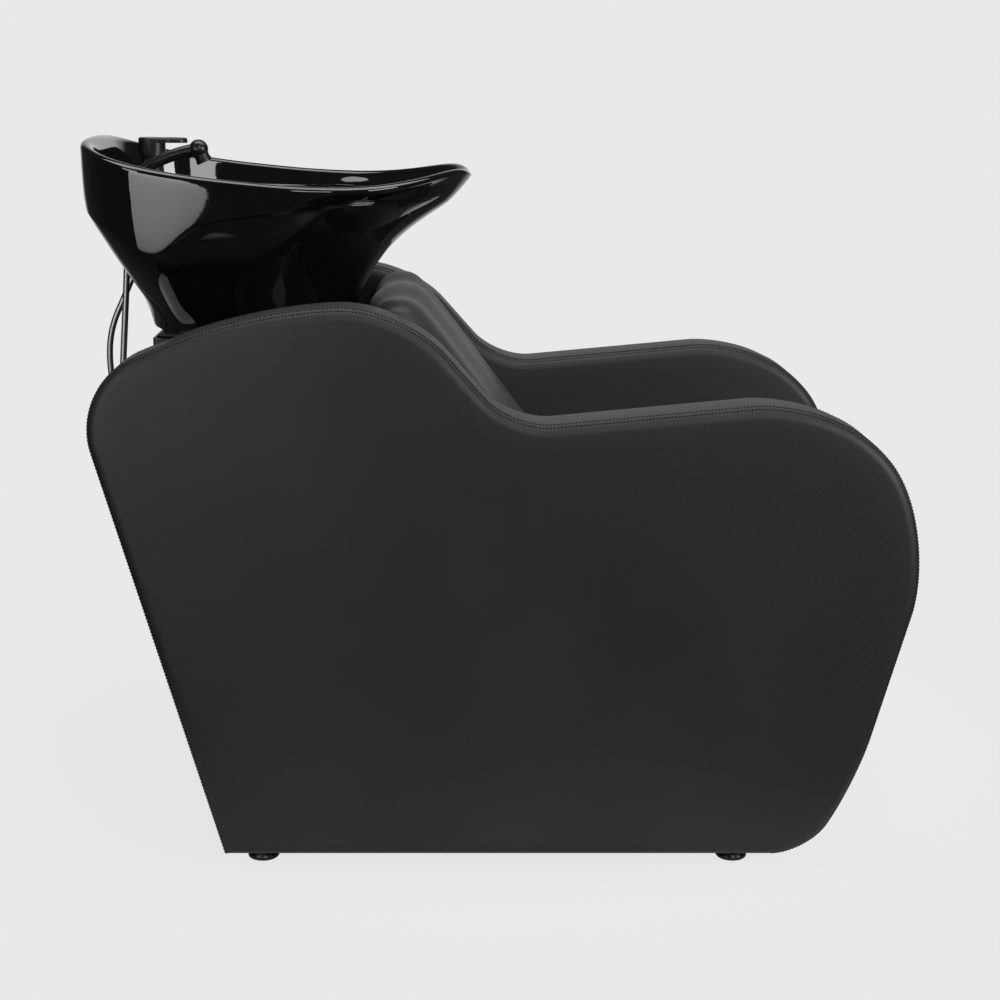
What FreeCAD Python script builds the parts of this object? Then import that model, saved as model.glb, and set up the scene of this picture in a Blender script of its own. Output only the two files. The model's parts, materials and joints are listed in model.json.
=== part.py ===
import FreeCAD, Part
import math
import os
import re
import Sketcher
from types import SimpleNamespace
from FreeCAD import Placement, Rotation, Vector

doc = FreeCAD.newDocument("backwash_unit")
sheet = doc.addObject("Spreadsheet::Sheet", "sizes")

SIZES = {
    # whole unit
    "overall_length": 1113.0,
    "overall_width": 650.0,
    # side panels
    "panel_thickness": 90.0,
    "panel_outline_height": 736.1,
    "panel_bottom": 16.5,
    "cover_edge_radius": 17.0,
    "cover_padding": 20.0,
    "core_gap": 0.3,
    # glides
    "glide_radius": 21.0,
    "glide_top_radius": 15.0,
    "glide_rim_height": 5.0,
    "glide_stud_radius": 4.0,
    "glide_stud_length": 28.0,
    # seat
    "seat_board_thickness": 18.0,
    "seat_cushion_height": 100.0,
    "seat_side_gap": 1.0,
    "seat_corner_radius": 28.0,
    "seat_edge_roll": 26.0,
    # backrest
    "back_recline": 37.4,
    "back_thickness": 84.0,
    "back_bottom_lift": 8.0,
    "back_side_gap": 1.0,
    "back_edge_roll": 22.0,
    "back_board_thickness": 15.0,
    "back_board_drop": 29.0,
    # cross members
    "rail_depth": 45.0,
    "rail_height": 60.0,
    "stretcher_z": 70.0,
    "top_rail_drop": 104.0,
    "apron_thickness": 22.0,
    "apron_bottom": 108.0,
    "apron_edge_radius": 6.0,
    "base_board_length": 130.0,
    "base_board_bottom": 30.0,
    "base_board_thickness": 25.0,
    # corner brackets and their screws
    "bracket_width": 36.0,
    "bracket_leg": 36.0,
    "bracket_thickness": 4.0,
    "bracket_hole_offset": 22.0,
    "screw_radius": 4.0,
    "screw_head_radius": 7.0,
    "screw_head_height": 4.0,
    "panel_screw_bite": 16.0,
    "rail_screw_bite": 26.0,
    "insert_radius": 7.0,
    "insert_length": 22.0,
    "screw_gap": 0.1,
    # beam under the bowl
    "beam_depth": 80.0,
    "beam_height": 60.0,
    "beam_wall": 4.0,
    # tilting mechanism
    "pivot_rise": 48.0,
    "tilt_plate_thickness": 5.0,
    "cheek_length": 50.0,
    "cheek_inner_y": 57.0,
    "cheek_thickness": 5.0,
    "cheek_height": 60.0,
    "tilt_bolt_spread_x": 26.0,
    "tilt_bolt_spread_y": 36.0,
    "tilt_bolt_radius": 4.0,
    "tilt_bolt_head_radius": 6.5,
    "tilt_bolt_head_height": 5.0,
    "tilt_bolt_nut_height": 6.0,
    "pivot_radius": 6.0,
    "pivot_head_radius": 10.0,
    "pivot_head_height": 6.0,
    "pivot_nut_height": 6.0,
    "pivot_nut_y": 41.0,
    "pivot_running_gap": 0.05,
    "pivot_bore_gap": 0.1,
    "bush_radius": 9.0,
    "lug_inner_y": 49.0,
    "lug_thickness": 5.0,
    "lug_width": 40.0,
    "lug_rise": 30.0,
    "washer_radius": 14.0,
    "moving_gap": 0.3,
    "bumper_stand_length": 30.0,
    "bumper_stand_width": 44.0,
    "bumper_stand_height": 56.0,
    "bumper_radius": 13.0,
    "tailpiece_slot_radius": 47.0,
    "shroud_half_width": 88.0,
    "shroud_wall": 3.0,
    "shroud_height": 66.5,
    "shroud_corner_radius": 6.0,
    "groove_width": 4.0,
    "groove_depth": 1.5,
    "groove_pitch": 12.0,
    # cradle
    "cradle_length": 240.0,
    "cradle_width": 156.0,
    "cradle_rise": 68.0,
    "cradle_thickness": 4.0,
    "pad_thickness": 3.0,
    "pad_margin": 5.0,
    "cradle_screw_y": 60.0,
    "cradle_screw_bite": 12.0,
    # bowl
    "bowl_half_width": 245.0,
    "bowl_depth": 208.0,
    "rim_rear_rise": 57.0,
    "rim_front_rise": 29.0,
    "rim_wall": 17.0,
    "rim_roll": 8.0,
    "neck_notch_depth": 24.0,
    "neck_notch_half_width": 70.0,
    "bowl_floor_thickness": 29.0,
    "deck_drop": 19.0,
    "deck_thickness": 14.0,
    "deck_boss_radius": 21.0,
    "drain_hole_radius": 24.0,
    "drain_seat_radius": 36.0,
    "base_recess_radius": 58.0,
    "base_recess_height": 12.0,
    "pocket_half_width": 125.0,
    "pocket_rise": 13.0,
    # waste
    "drain_flange_radius": 32.0,
    "drain_flange_height": 3.0,
    "drain_seal_height": 1.0,
    "drain_tube_radius": 23.5,
    "drain_tube_drop": 19.0,
    "drain_nut_radius": 40.0,
    "drain_nut_height": 9.0,
    "tail_radius": 20.0,
    "tail_neck_radius": 19.4,
    "tail_shoulder": 2.0,
    "tail_wall": 2.5,
    "tail_rise": 13.0,
    "tail_length": 144.0,
    "tail_gap": 0.2,
    "strainer_radius": 27.0,
    "strainer_plug_radius": 16.0,
    "strainer_plug_depth": 14.0,
    "strainer_height": 3.0,
    "strainer_hole_radius": 2.2,
    "strainer_ring_radius": 10.5,
    # tap
    "mixer_y": 45.0,
    "mixer_hole_radius": 14.0,
    "mixer_seal_height": 2.0,
    "mixer_flange_radius": 21.0,
    "mixer_flange_height": 5.0,
    "mixer_shank_radius": 13.0,
    "mixer_shank_drop": 30.0,
    "mixer_body_radius": 15.5,
    "mixer_ball_height": 46.0,
    "mixer_ball_radius": 16.5,
    "mixer_neck_drop": 4.0,
    "mixer_bore_radius": 10.6,
    "mixer_bore_depth": 32.0,
    "mixer_nut_radius": 17.0,
    "mixer_nut_height": 9.0,
    "cartridge_height": 16.0,
    "swivel_radius": 10.2,
    "swivel_rise": 2.0,
    "stem_ball_radius": 6.0,
    "stem_radius": 3.5,
    "cap_radius": 19.0,
    "cap_rise": 3.0,
    "cap_height": 21.0,
    "cap_edge_radius": 3.0,
    "cap_cavity_radius": 17.2,
    "loop_reach": 36.0,
    "loop_end_radius": 14.0,
    "loop_bar": 5.0,
    "loop_thickness": 7.0,
    "loop_hole_start": 23.0,
    "indicator_radius": 1.7,
    "indicator_depth": 0.8,
    "inlet_radius": 4.5,
    "inlet_spread": 6.5,
    "inlet_length": 22.0,
    "nipple_radius": 6.5,
    "nipple_length": 17.0,
    # hand shower
    "holder_y": -60.0,
    "holder_lean": 3.25,
    "holder_flange_radius": 19.0,
    "holder_flange_height": 4.0,
    "holder_flange_lift": 1.2,
    "holder_sleeve_radius": 13.0,
    "holder_sleeve_depth": 40.0,
    "holder_hole_radius": 14.5,
    "holder_bore_radius": 8.6,
    "holder_mouth_radius": 11.5,
    "holder_mouth_depth": 12.0,
    "holder_nut_radius": 20.0,
    "holder_nut_height": 8.0,
    "holder_nut_top": 15.5,
    "cone_top_radius": 11.0,
    "cone_bottom_radius": 7.6,
    "cone_top": 6.0,
    "cone_bottom": 11.0,
    "hose_radius": 4.5,
    "hose_drop": 560.0,
    "hose_joint_depth": 286.0,
    "handle_radius": 8.5,
    "handle_foot_radius": 7.2,
    "handle_bend_radius": 22.0,
    "handle_first_turn": 55.0,
    "handle_second_turn": 22.0,
    "handle_second_radius": 190.0,
    "handle_straight": 16.0,
    "head_radius": 13.0,
    "nozzle_radius": 10.0,
    "nozzle_length": 19.0,
    "nozzle_ring_radius": 10.8,
    "nozzle_ring_height": 5.0,
    "nozzle_tilt": 28.0,
    "spray_radius": 8.4,
    "spray_thickness": 2.0,
}

# Places along the unit, as shares of its length, and heights on the panel, as shares of its height.
LENGTH_SHARES = {
    "panel_outline_length_share": 1.005481,
    "glide_rear_x_share": -0.276280,
    "glide_front_x_share": 0.296945,
    "seat_front_x_share": 0.477987,
    "seat_rear_x_share": 0.098832,
    "seat_board_rear_x_share": 0.017969,
    "seat_board_front_x_share": 0.449236,
    "back_length_share": 0.336029,
    "back_foot_x_share": 0.111411,
    "front_rail_x_share": 0.359389,
    "rear_rail_x_share": 0.019766,
    "base_board_rear_x_share": -0.309973,
    "beam_x_share": -0.361635,
    "pivot_x_share": -0.384097,
    "tilt_plate_rear_x_share": -0.406559,
    "bumper_stand_x_share": -0.231806,
    "shroud_rear_x_share": -0.420934,
    "shroud_front_x_share": -0.195418,
    "groove_first_x_share": -0.407008,
    "cradle_rear_x_share": -0.413297,
    "cradle_screw_rear_x_share": -0.348607,
    "cradle_screw_front_x_share": -0.215633,
    "bowl_centre_x_share": -0.249326,
    "bowl_front_x_share": -0.026056,
    "rim_low_x_share": -0.181491,
    "drain_x_share": -0.280773,
    "pocket_rear_x_share": -0.487871,
    "mixer_x_share": -0.433064,
    "holder_x_share": -0.449057,
}
HEIGHT_SHARES = {
    "seat_board_top_share": 0.461894,
    "tilt_plate_bottom_share": 0.831409,
}
# Heights that stack on one another, each from the one below it.
STACKED = {
    "stretcher_x": "front_rail_x",
    "apron_x": "front_rail_x + rail_depth",
    "back_board_length": "back_length - back_board_drop",
    "top_rail_height": "back_length - top_rail_drop",
    "back_foot_z": "seat_board_top + seat_cushion_height",
    "pivot_z": "tilt_plate_bottom + pivot_rise",
    "cheek_top": "tilt_plate_bottom + cheek_height",
    "lug_bottom": "tilt_plate_bottom + lug_rise",
    "bumper_stand_top": "tilt_plate_bottom + bumper_stand_height",
    "shroud_bottom": "tilt_plate_bottom",
    "shroud_top": "tilt_plate_bottom + shroud_height",
    "cradle_bottom": "tilt_plate_bottom + cradle_rise",
    "bowl_base_z": "cradle_bottom + cradle_thickness + pad_thickness",
    "rim_low_z": "bowl_base_z + bowl_depth",
    "bowl_floor_z": "bowl_base_z + bowl_floor_thickness",
    "base_recess_top": "bowl_base_z + base_recess_height",
    "pocket_bottom": "bowl_base_z + pocket_rise",
    "deck_z": "rim_low_z - deck_drop",
    "deck_underside_z": "deck_z - deck_thickness",
    "drain_tube_bottom": "bowl_base_z - drain_tube_drop",
    "tail_top": "bowl_base_z + tail_rise",
    "tail_bottom": "tail_top - tail_length",
    "mixer_shank_bottom": "deck_underside_z - mixer_shank_drop",
    "mixer_ball_z": "deck_z + mixer_ball_height",
    "mixer_bore_bottom": "mixer_ball_z - mixer_bore_depth",
    "cartridge_top": "mixer_bore_bottom + cartridge_height",
    "swivel_top": "mixer_ball_z + swivel_rise",
    "cap_bottom": "mixer_ball_z + cap_rise",
    "cap_top": "cap_bottom + cap_height",
}

for row, (alias, number) in enumerate(SIZES.items(), 1):
    sheet.set(f"A{row}", alias)
    sheet.set(f"B{row}", str(number))
    sheet.setAlias(f"B{row}", alias)
doc.recompute()
s = SimpleNamespace(**{alias: float(sheet.get(alias)) for alias in SIZES})
WORD = re.compile(r"[a-z][a-z_]*")
places = {}
for word, table in (("overall_length", LENGTH_SHARES), ("panel_outline_height", HEIGHT_SHARES)):
    for name, share in table.items():
        places[name.removesuffix("_share")] = f"({word} * {share})"
        setattr(s, name.removesuffix("_share"), getattr(s, word) * share)
for name, stack in STACKED.items():
    places[name] = "(" + WORD.sub(lambda m: places.get(m.group(0), m.group(0)), stack) + ")"
for name, stack in STACKED.items():
    signs = [-1 if sign == "-" else 1 for sign in re.findall("[+-]", "+" + stack)]
    setattr(s, name, sum(sign * getattr(s, word) for sign, word in zip(signs, WORD.findall(stack))))

parts = []


def linked(text):
    text = WORD.sub(lambda m: places.get(m.group(0), m.group(0)), text)
    return WORD.sub(lambda m: "sizes." + m.group(0) if m.group(0) in SIZES else m.group(0), text)


def bind(obj, prop, text):
    obj.setExpression(prop, linked(text))


def put(obj, corner, turn=None):
    if turn is not None:
        obj.Placement = Placement(Vector(), turn)
    for axis, text in zip("xyz", corner):
        bind(obj, "Placement.Base." + axis, text)


def box(name, extent, corner):
    obj = doc.addObject("Part::Box", name)
    for prop, text in zip(("Length", "Width", "Height"), extent):
        bind(obj, prop, text)
    put(obj, corner)
    return obj


ALONG = {
    "z": Rotation(),
    "y": Rotation(Vector(1, 0, 0), -90),
    "-y": Rotation(Vector(1, 0, 0), 90),
}


def cylinder(name, radius, height, base, axis="z"):
    obj = doc.addObject("Part::Cylinder", name)
    bind(obj, "Radius", radius)
    bind(obj, "Height", height)
    put(obj, base, ALONG[axis])
    return obj


def prism(name, radius, height, base):
    obj = doc.addObject("Part::Prism", name)
    obj.Polygon = 6
    bind(obj, "Circumradius", radius)
    bind(obj, "Height", height)
    put(obj, base)
    return obj


def compound(name, pieces):
    obj = doc.addObject("Part::Compound", name)
    obj.Links = list(pieces)
    return obj


def cut(name, base, *tools):
    obj = doc.addObject("Part::Cut", name)
    obj.Base = base
    obj.Tool = tools[0] if len(tools) == 1 else compound(name + "_tools", tools)
    return obj


def fuse(name, *pieces):
    obj = doc.addObject("Part::MultiFuse", name)
    obj.Shapes = list(pieces)
    return obj


def mirrored(name, source):
    obj = doc.addObject("Part::Mirroring", name)
    obj.Source = source
    obj.Normal = Vector(0, 1, 0)
    return obj


def feature(name, shape, place=None):
    obj = doc.addObject("Part::Feature", name)
    obj.Shape = shape
    if place is not None:
        obj.Placement = place
    return obj


def publish(obj, label):
    obj.Label = label
    parts.append(obj)
    return obj


def plane_of(body, role):
    return [f for f in body.Origin.OriginFeatures if f.Role == role][0]


def pin_point(sketch, geo, pos, x_text, y_text):
    for kind, axis, text in (("DistanceX", -2, x_text), ("DistanceY", -1, y_text)):
        if text == "0":
            sketch.addConstraint(Sketcher.Constraint("PointOnObject", geo, pos, axis))
        else:
            point = sketch.getPoint(geo, pos)
            now = point.x if kind == "DistanceX" else point.y
            index = sketch.addConstraint(Sketcher.Constraint(kind, -1, 1, geo, pos, now))
            sketch.setExpression(f"Constraints[{index}]", linked(text))


def number_of(text):
    probe.set("A1", "=" + linked(text))
    probe.recompute()
    value = probe.get("A1")
    return float(getattr(value, "Value", value))


probe = doc.addObject("Spreadsheet::Sheet", "probe")


def outline(body, role, points, circles=()):
    sketch = body.newObject("Sketcher::SketchObject", body.Name + "_sketch")
    sketch.AttachmentSupport = (plane_of(body, role), [""])
    sketch.MapMode = "FlatFace"
    spots = [Vector(number_of(x), number_of(y), 0) for x, y in points]
    count = len(spots)
    for i in range(count):
        sketch.addGeometry(Part.LineSegment(spots[i], spots[(i + 1) % count]), False)
    for i in range(count):
        sketch.addConstraint(Sketcher.Constraint("Coincident", i, 2, (i + 1) % count, 1))
    for i, (x, y) in enumerate(points):
        pin_point(sketch, i, 1, x, y)
    for x, y, radius in circles:
        centre = Vector(number_of(x), number_of(y), 0)
        geo = sketch.addGeometry(Part.Circle(centre, Vector(0, 0, 1), number_of(radius)), False)
        pin_point(sketch, geo, 3, x, y)
        index = sketch.addConstraint(Sketcher.Constraint("Radius", geo, number_of(radius)))
        sketch.setExpression(f"Constraints[{index}]", linked(radius))
    doc.recompute()
    return sketch


def turned(name, points, base=("0", "0", "0")):
    body = doc.addObject("PartDesign::Body", name)
    sketch = outline(body, "XZ_Plane", points)
    spin = body.newObject("PartDesign::Revolution", name + "_spin")
    spin.Profile = sketch
    spin.ReferenceAxis = (sketch, ["V_Axis"])
    spin.Angle = 360
    put(body, base)
    doc.recompute()
    return body


def plate(name, points, thickness, base, circles=()):
    body = doc.addObject("PartDesign::Body", name)
    sketch = outline(body, "XY_Plane", points, circles)
    pad = body.newObject("PartDesign::Pad", name + "_pad")
    pad.Profile = sketch
    bind(pad, "Length", thickness)
    put(body, base)
    doc.recompute()
    return body


def rectangle(x_low, x_high, y_low, y_high):
    return [(x_low, y_low), (x_high, y_low), (x_high, y_high), (x_low, y_high)]


# Side panels: one outline of straight runs and tangent arcs, each corner given as shares of the
# outline's length and height and the share of its shorter neighbour that its arc takes up.
PANEL_CORNER_SHARES = (
    (0.1669, 0.0, 0.0),
    (0.0, 0.8608, 0.361),
    (0.2098, 0.9947, 0.565),
    (0.3779, 1.0, 0.42),
    (0.5026, 0.7912, 0.26),
    (0.8271, 0.8416, 0.45),
    (0.9312, 0.7703, 0.39),
    (1.0, 0.5874, 0.645),
    (0.9227, 0.1387, 0.55),
    (0.8677, 0.0, 0.42),
)
RUN_LEFT_SHARE = 0.99


def panel_face(inset):
    spots = [Vector(x * s.panel_outline_length, 0, z * s.panel_outline_height)
             for x, z, _ in PANEL_CORNER_SHARES]
    count = len(spots)
    ways = [(spots[(i + 1) % count] - spots[i]) for i in range(count)]
    spans = [way.Length for way in ways]
    ways = [Vector(way).normalize() for way in ways]
    takes = [PANEL_CORNER_SHARES[i][2] * min(spans[i - 1], spans[i]) for i in range(count)]
    for i in range(count):
        room = RUN_LEFT_SHARE * spans[i] / max(takes[i] + takes[(i + 1) % count], s.core_gap)
        takes[i] *= min(1.0, room)
        takes[(i + 1) % count] *= min(1.0, room)
    moved = []
    for i in range(count):
        shift = inset if i < count - 1 else 0.0
        moved.append(spots[i] + Vector(ways[i].z, 0, -ways[i].x) * shift)
    corners = []
    for i in range(count):
        p, d = moved[i - 1], ways[i - 1]
        q, e = moved[i], ways[i]
        cross = d.x * e.z - d.z * e.x
        along = ((q.x - p.x) * e.z - (q.z - p.z) * e.x) / cross
        turn = math.atan2(-cross, d.dot(e))
        take = takes[i]
        radius = take / math.tan(abs(turn) / 2)
        if take:
            radius -= math.copysign(inset, turn)
        corners.append((p + d * along, d, e, turn, radius))
    edges = []
    ends = []
    for corner, d, e, turn, radius in corners:
        take = radius * math.tan(abs(turn) / 2)
        start = corner - d * take
        finish = corner + e * take
        side = Vector(e - d).normalize()
        middle = corner + side * (radius / math.cos(turn / 2) - radius)
        ends.append((start, middle, finish, radius))
    for i in range(count):
        start, middle, finish, radius = ends[i]
        if radius > 0:
            edges.append(Part.Arc(start, middle, finish).toShape())
        edges.append(Part.makeLine(finish, ends[(i + 1) % count][0]))
    return Part.Face(Part.Wire(edges))


panel_front = panel_face(0.0).BoundBox.XMax
panel_shift = Vector(s.overall_length / 2 - panel_front, 0, s.panel_bottom)
panel_mid_y = s.overall_width / 2 - s.panel_thickness / 2
inner_y = s.overall_width / 2 - s.panel_thickness
core_thickness = s.panel_thickness - 2 * s.cover_padding


def panel_solid(inset, thickness):
    face = panel_face(inset)
    face.translate(panel_shift - Vector(0, thickness / 2, 0))
    return face.extrude(Vector(0, thickness, 0))


# Cross members between the panels.
board_width = "(overall_width - 2 * panel_thickness)"
rail_y = "-" + board_width + " / 2"
rail_top = "(seat_board_top - seat_board_thickness)"
front_seat_rail = box("front_rail", ("rail_depth", board_width, "rail_height"),
                      ("front_rail_x", rail_y, rail_top + " - rail_height"))
rear_seat_rail = box("rear_rail", ("rail_depth", board_width, "rail_height"),
                     ("rear_rail_x", rail_y, rail_top + " - rail_height"))
front_stretcher = box("stretcher", ("rail_depth", board_width, "rail_height"),
                      ("stretcher_x", rail_y, "stretcher_z"))
base_board = box("base_plank", ("base_board_length", board_width, "base_board_thickness"),
                 ("base_board_rear_x", rail_y, "base_board_bottom"))

beam_outer = box("beam_outer", ("beam_depth", board_width, "beam_height"),
                 ("beam_x - beam_depth / 2", rail_y, "tilt_plate_bottom - beam_height"))
beam_inner = box("beam_inner", ("beam_depth - 2 * beam_wall", board_width,
                                "beam_height - 2 * beam_wall"),
                 ("beam_x - beam_depth / 2 + beam_wall", rail_y,
                  "tilt_plate_bottom - beam_height + beam_wall"))
bowl_beam = cut("beam_tube", beam_outer, beam_inner)
recline = math.radians(s.back_recline)
back_up = Vector(-math.sin(recline), 0, math.cos(recline))
back_out = Vector(math.cos(recline), 0, math.sin(recline))
back_foot = Vector(s.back_foot_x, 0, s.back_foot_z)


def on_back(along, depth):
    return back_foot + back_up * along - back_out * depth


back_turn = Rotation(Vector(0, 1, 0), -s.back_recline)
back_top_rail = doc.addObject("Part::Box", "top_rail")
bind(back_top_rail, "Length", "rail_depth")
bind(back_top_rail, "Width", board_width)
bind(back_top_rail, "Height", "rail_height")
BACK_CROWN_SHARE = 0.1
pad_depth = s.back_thickness + BACK_CROWN_SHARE * s.back_edge_roll + s.core_gap
top_rail_depth = pad_depth + s.back_board_thickness + s.rail_depth
back_top_rail.Placement = Placement(
    on_back(s.top_rail_height, top_rail_depth) - Vector(0, inner_y, 0), back_turn)
doc.recompute()

# Corner brackets: one under each rail end, above the base board at its ends.
bracket_spots = [
    (Vector(s.front_rail_x + s.rail_depth / 2, 0,
            s.seat_board_top - s.seat_board_thickness - s.rail_height), -1, Rotation()),
    (Vector(s.rear_rail_x + s.rail_depth / 2, 0,
            s.seat_board_top - s.seat_board_thickness - s.rail_height), -1, Rotation()),
    (Vector(s.stretcher_x + s.rail_depth / 2, 0, s.stretcher_z + s.rail_height), 1, Rotation()),
    (Vector(s.base_board_rear_x + s.base_board_length / 2, 0,
            s.base_board_bottom + s.base_board_thickness), 1, Rotation()),
    (Vector(s.beam_x, 0, s.tilt_plate_bottom - s.beam_height), -1, Rotation()),
    (on_back(s.top_rail_height, top_rail_depth - s.rail_depth / 2), -1, back_turn),
]


def joint_shapes(spot, way, turn, side):
    half = s.bracket_width / 2
    flat = Part.makeBox(s.bracket_width, s.bracket_leg, s.bracket_thickness)
    flat.translate(Vector(-half, -s.bracket_leg, 0))
    upright = Part.makeBox(s.bracket_width, s.bracket_thickness, s.bracket_leg)
    upright.translate(Vector(-half, -s.bracket_thickness, 0))
    holes = [
        Part.makeCylinder(s.screw_radius + s.screw_gap, s.bracket_leg, Vector(0, -s.bracket_leg / 2,
                          s.bracket_hole_offset), Vector(0, 1, 0)),
        Part.makeCylinder(s.screw_radius + s.screw_gap, s.bracket_leg, Vector(
            0, -s.bracket_hole_offset, -s.bracket_leg / 2)),
    ]
    bracket = flat.fuse(upright).removeSplitter()
    for hole in holes:
        bracket = bracket.cut(hole)
    panel_start = Vector(0, -s.bracket_thickness, s.bracket_hole_offset)
    reach = s.bracket_thickness + s.cover_padding + s.panel_screw_bite
    panel_screw = Part.makeCylinder(s.screw_radius, reach, panel_start, Vector(0, 1, 0))
    panel_screw = panel_screw.fuse(Part.makeCylinder(
        s.screw_head_radius, s.screw_head_height, panel_start, Vector(0, -1, 0))).removeSplitter()
    rail_start = Vector(0, -s.bracket_hole_offset, s.bracket_thickness)
    bite = s.bracket_thickness + s.rail_screw_bite
    bite = min(bite, s.bracket_thickness + s.base_board_thickness - s.screw_head_height)
    rail_screw = Part.makeCylinder(s.screw_radius, bite, rail_start, Vector(0, 0, -1))
    rail_screw = rail_screw.fuse(Part.makeCylinder(
        s.screw_head_radius, s.screw_head_height, rail_start, Vector(0, 0, 1))).removeSplitter()
    insert_start = Vector(0, s.cover_padding, s.bracket_hole_offset)
    insert = Part.makeCylinder(s.insert_radius, s.insert_length, insert_start, Vector(0, 1, 0))
    insert_hole = Part.makeCylinder(s.insert_radius + s.screw_gap, s.insert_length + s.cover_padding,
                                    Vector(0, 0, s.bracket_hole_offset), Vector(0, 1, 0))
    bore = Part.makeCylinder(s.screw_radius + s.screw_gap, s.insert_length, insert_start,
                             Vector(0, 1, 0))
    rail_hole = Part.makeCylinder(s.screw_radius + s.screw_gap, bite, rail_start, Vector(0, 0, -1))
    made = [bracket, panel_screw, rail_screw, insert.cut(bore), insert_hole, rail_hole]
    for shape in made:
        if way < 0:
            shape.rotate(Vector(), Vector(0, 1, 0), 180)
        shape.rotate(Vector(), turn.Axis, math.degrees(turn.Angle))
        shape.translate(spot + Vector(0, inner_y, 0))
    return [shape if side > 0 else shape.mirror(Vector(), Vector(0, 1, 0)) for shape in made]


joints = [[joint_shapes(spot, way, turn, side) for side in (-1, 1)]
          for spot, way, turn in bracket_spots]
every_joint = [one for pair in joints for one in pair]
publish(feature("brackets", Part.makeCompound([j[0] for j in every_joint])), "corner_brackets")
publish(feature("screws_to_panel", Part.makeCompound([j[1] for j in every_joint])), "panel_screws")
publish(feature("screws_to_rail", Part.makeCompound([j[2] for j in every_joint])), "rail_screws")
publish(feature("inserts", Part.makeCompound([j[3] for j in every_joint])), "insert_nuts")
rails = (front_seat_rail, rear_seat_rail, front_stretcher, base_board, bowl_beam, back_top_rail)
rail_labels = ("front_seat_rail", "rear_seat_rail", "front_stretcher", "base_board", "bowl_beam",
               "back_top_rail")
tilt_bolt_spots = [(s.beam_x + sx * s.tilt_bolt_spread_x, sy * s.tilt_bolt_spread_y)
                   for sx in (-1, 1) for sy in (-1, 1)]
tilt_bolt_low = s.tilt_plate_bottom - s.beam_wall - s.tilt_bolt_nut_height
tilt_plate_top = s.tilt_plate_bottom + s.tilt_plate_thickness
tilt_bolt_holes = [Part.makeCylinder(s.tilt_bolt_radius + s.screw_gap, tilt_plate_top - tilt_bolt_low,
                                     Vector(x, y, tilt_bolt_low)) for x, y in tilt_bolt_spots]
for rail, label, pair in zip(rails, rail_labels, joints):
    bores = [j[5] for j in pair] + (tilt_bolt_holes if label == "bowl_beam" else [])
    holes = feature(label + "_holes", Part.makeCompound(bores))
    publish(cut(label + "_drilled", rail, holes), label)

# Panel cores and their padded covers.
glide_spots = [(x, side * panel_mid_y) for x in (s.glide_rear_x, s.glide_front_x) for side in (-1, 1)]
stud_holes = [Part.makeCylinder(s.glide_stud_radius + s.screw_gap, s.glide_stud_length,
                                Vector(x, y, s.panel_bottom)) for x, y in glide_spots]
for side, name in ((-1, "right"), (1, "left")):
    at = Vector(0, side * panel_mid_y, 0)
    core = panel_solid(s.cover_padding, core_thickness)
    core.translate(at)
    for hole in [j[4] for j in every_joint] + stud_holes:
        if core.BoundBox.intersect(hole.BoundBox):
            core = core.cut(hole)
    publish(feature(name + "_core", core), name + "_side_core")
    cover = panel_solid(0.0, s.panel_thickness)
    rims = [e for e in cover.Edges
            if abs(abs(e.CenterOfMass.y) - s.panel_thickness / 2) < s.core_gap]
    cover = cover.makeFillet(s.cover_edge_radius, rims)
    hollow = panel_solid(s.cover_padding - s.core_gap, core_thickness + 2 * s.core_gap)
    lower = hollow.copy()
    lower.translate(Vector(0, 0, -s.core_gap))
    cover = cover.cut(hollow).cut(lower)
    cover.translate(at)
    for hole in [j[4] for j in every_joint]:
        if cover.BoundBox.intersect(hole.BoundBox):
            cover = cover.cut(hole)
    publish(feature(name + "_cover", cover), name + "_side_cover")

glide = turned("glide", [
    ("0", "0"),
    ("glide_radius - glide_rim_height / 3", "0"),
    ("glide_radius", "glide_rim_height / 3"),
    ("glide_radius", "glide_rim_height"),
    ("glide_top_radius", "panel_bottom"),
    ("0", "panel_bottom"),
])
publish(feature("glide_set", Part.makeCompound(
    [glide.Shape.translated(Vector(x, y, 0)) for x, y in glide_spots])), "glides")
stud = cylinder("stud", "glide_stud_radius", "glide_stud_length", ("0", "0", "panel_bottom"))
doc.recompute()
publish(feature("stud_set", Part.makeCompound(
    [stud.Shape.translated(Vector(x, y, 0)) for x, y in glide_spots])), "glide_studs")

# Seat: plywood board and a crowned cushion with drawn-in sides.
publish(box("seat_deck", ("seat_board_front_x - seat_board_rear_x", board_width,
                          "seat_board_thickness"),
            ("seat_board_rear_x", rail_y, "seat_board_top - seat_board_thickness")), "seat_board")


def rounded_rectangle(inset, height):
    x_low = s.seat_rear_x + inset
    x_high = s.seat_front_x - inset
    y_high = inner_y - s.seat_side_gap - inset
    radius = s.seat_corner_radius
    slack = radius * (1 - math.sqrt(0.5))
    loop = []
    spots = ((x_high, y_high, 1, 1), (x_low, y_high, -1, 1),
             (x_low, -y_high, -1, -1), (x_high, -y_high, 1, -1))
    arcs = []
    for x, y, sx, sy in spots:
        one = Vector(x, y - sy * radius, height)
        two = Vector(x - sx * radius, y, height)
        middle = Vector(x - sx * slack, y - sy * slack, height)
        arcs.append((one, middle, two) if sx * sy > 0 else (two, middle, one))
    for i, (one, middle, two) in enumerate(arcs):
        loop.append(Part.Arc(one, middle, two).toShape())
        loop.append(Part.makeLine(two, arcs[(i + 1) % len(arcs)][0]))
    return Part.Wire(loop)


SEAT_LAYER_SHARES = ((0.0, 0.3), (0.2, 0.05), (0.5, 0.0), (0.76, 0.12), (0.9, 0.55), (0.97, 1.5),
                     (1.0, 3.0))
seat_layers = [rounded_rectangle(inset * s.seat_edge_roll,
                                 s.seat_board_top + height * s.seat_cushion_height)
               for height, inset in SEAT_LAYER_SHARES]
publish(feature("seat_pad", Part.makeLoft(seat_layers, True)), "seat_cushion")

# Backrest: pad with a rolled top, on a board that stands on the seat board.


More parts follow.
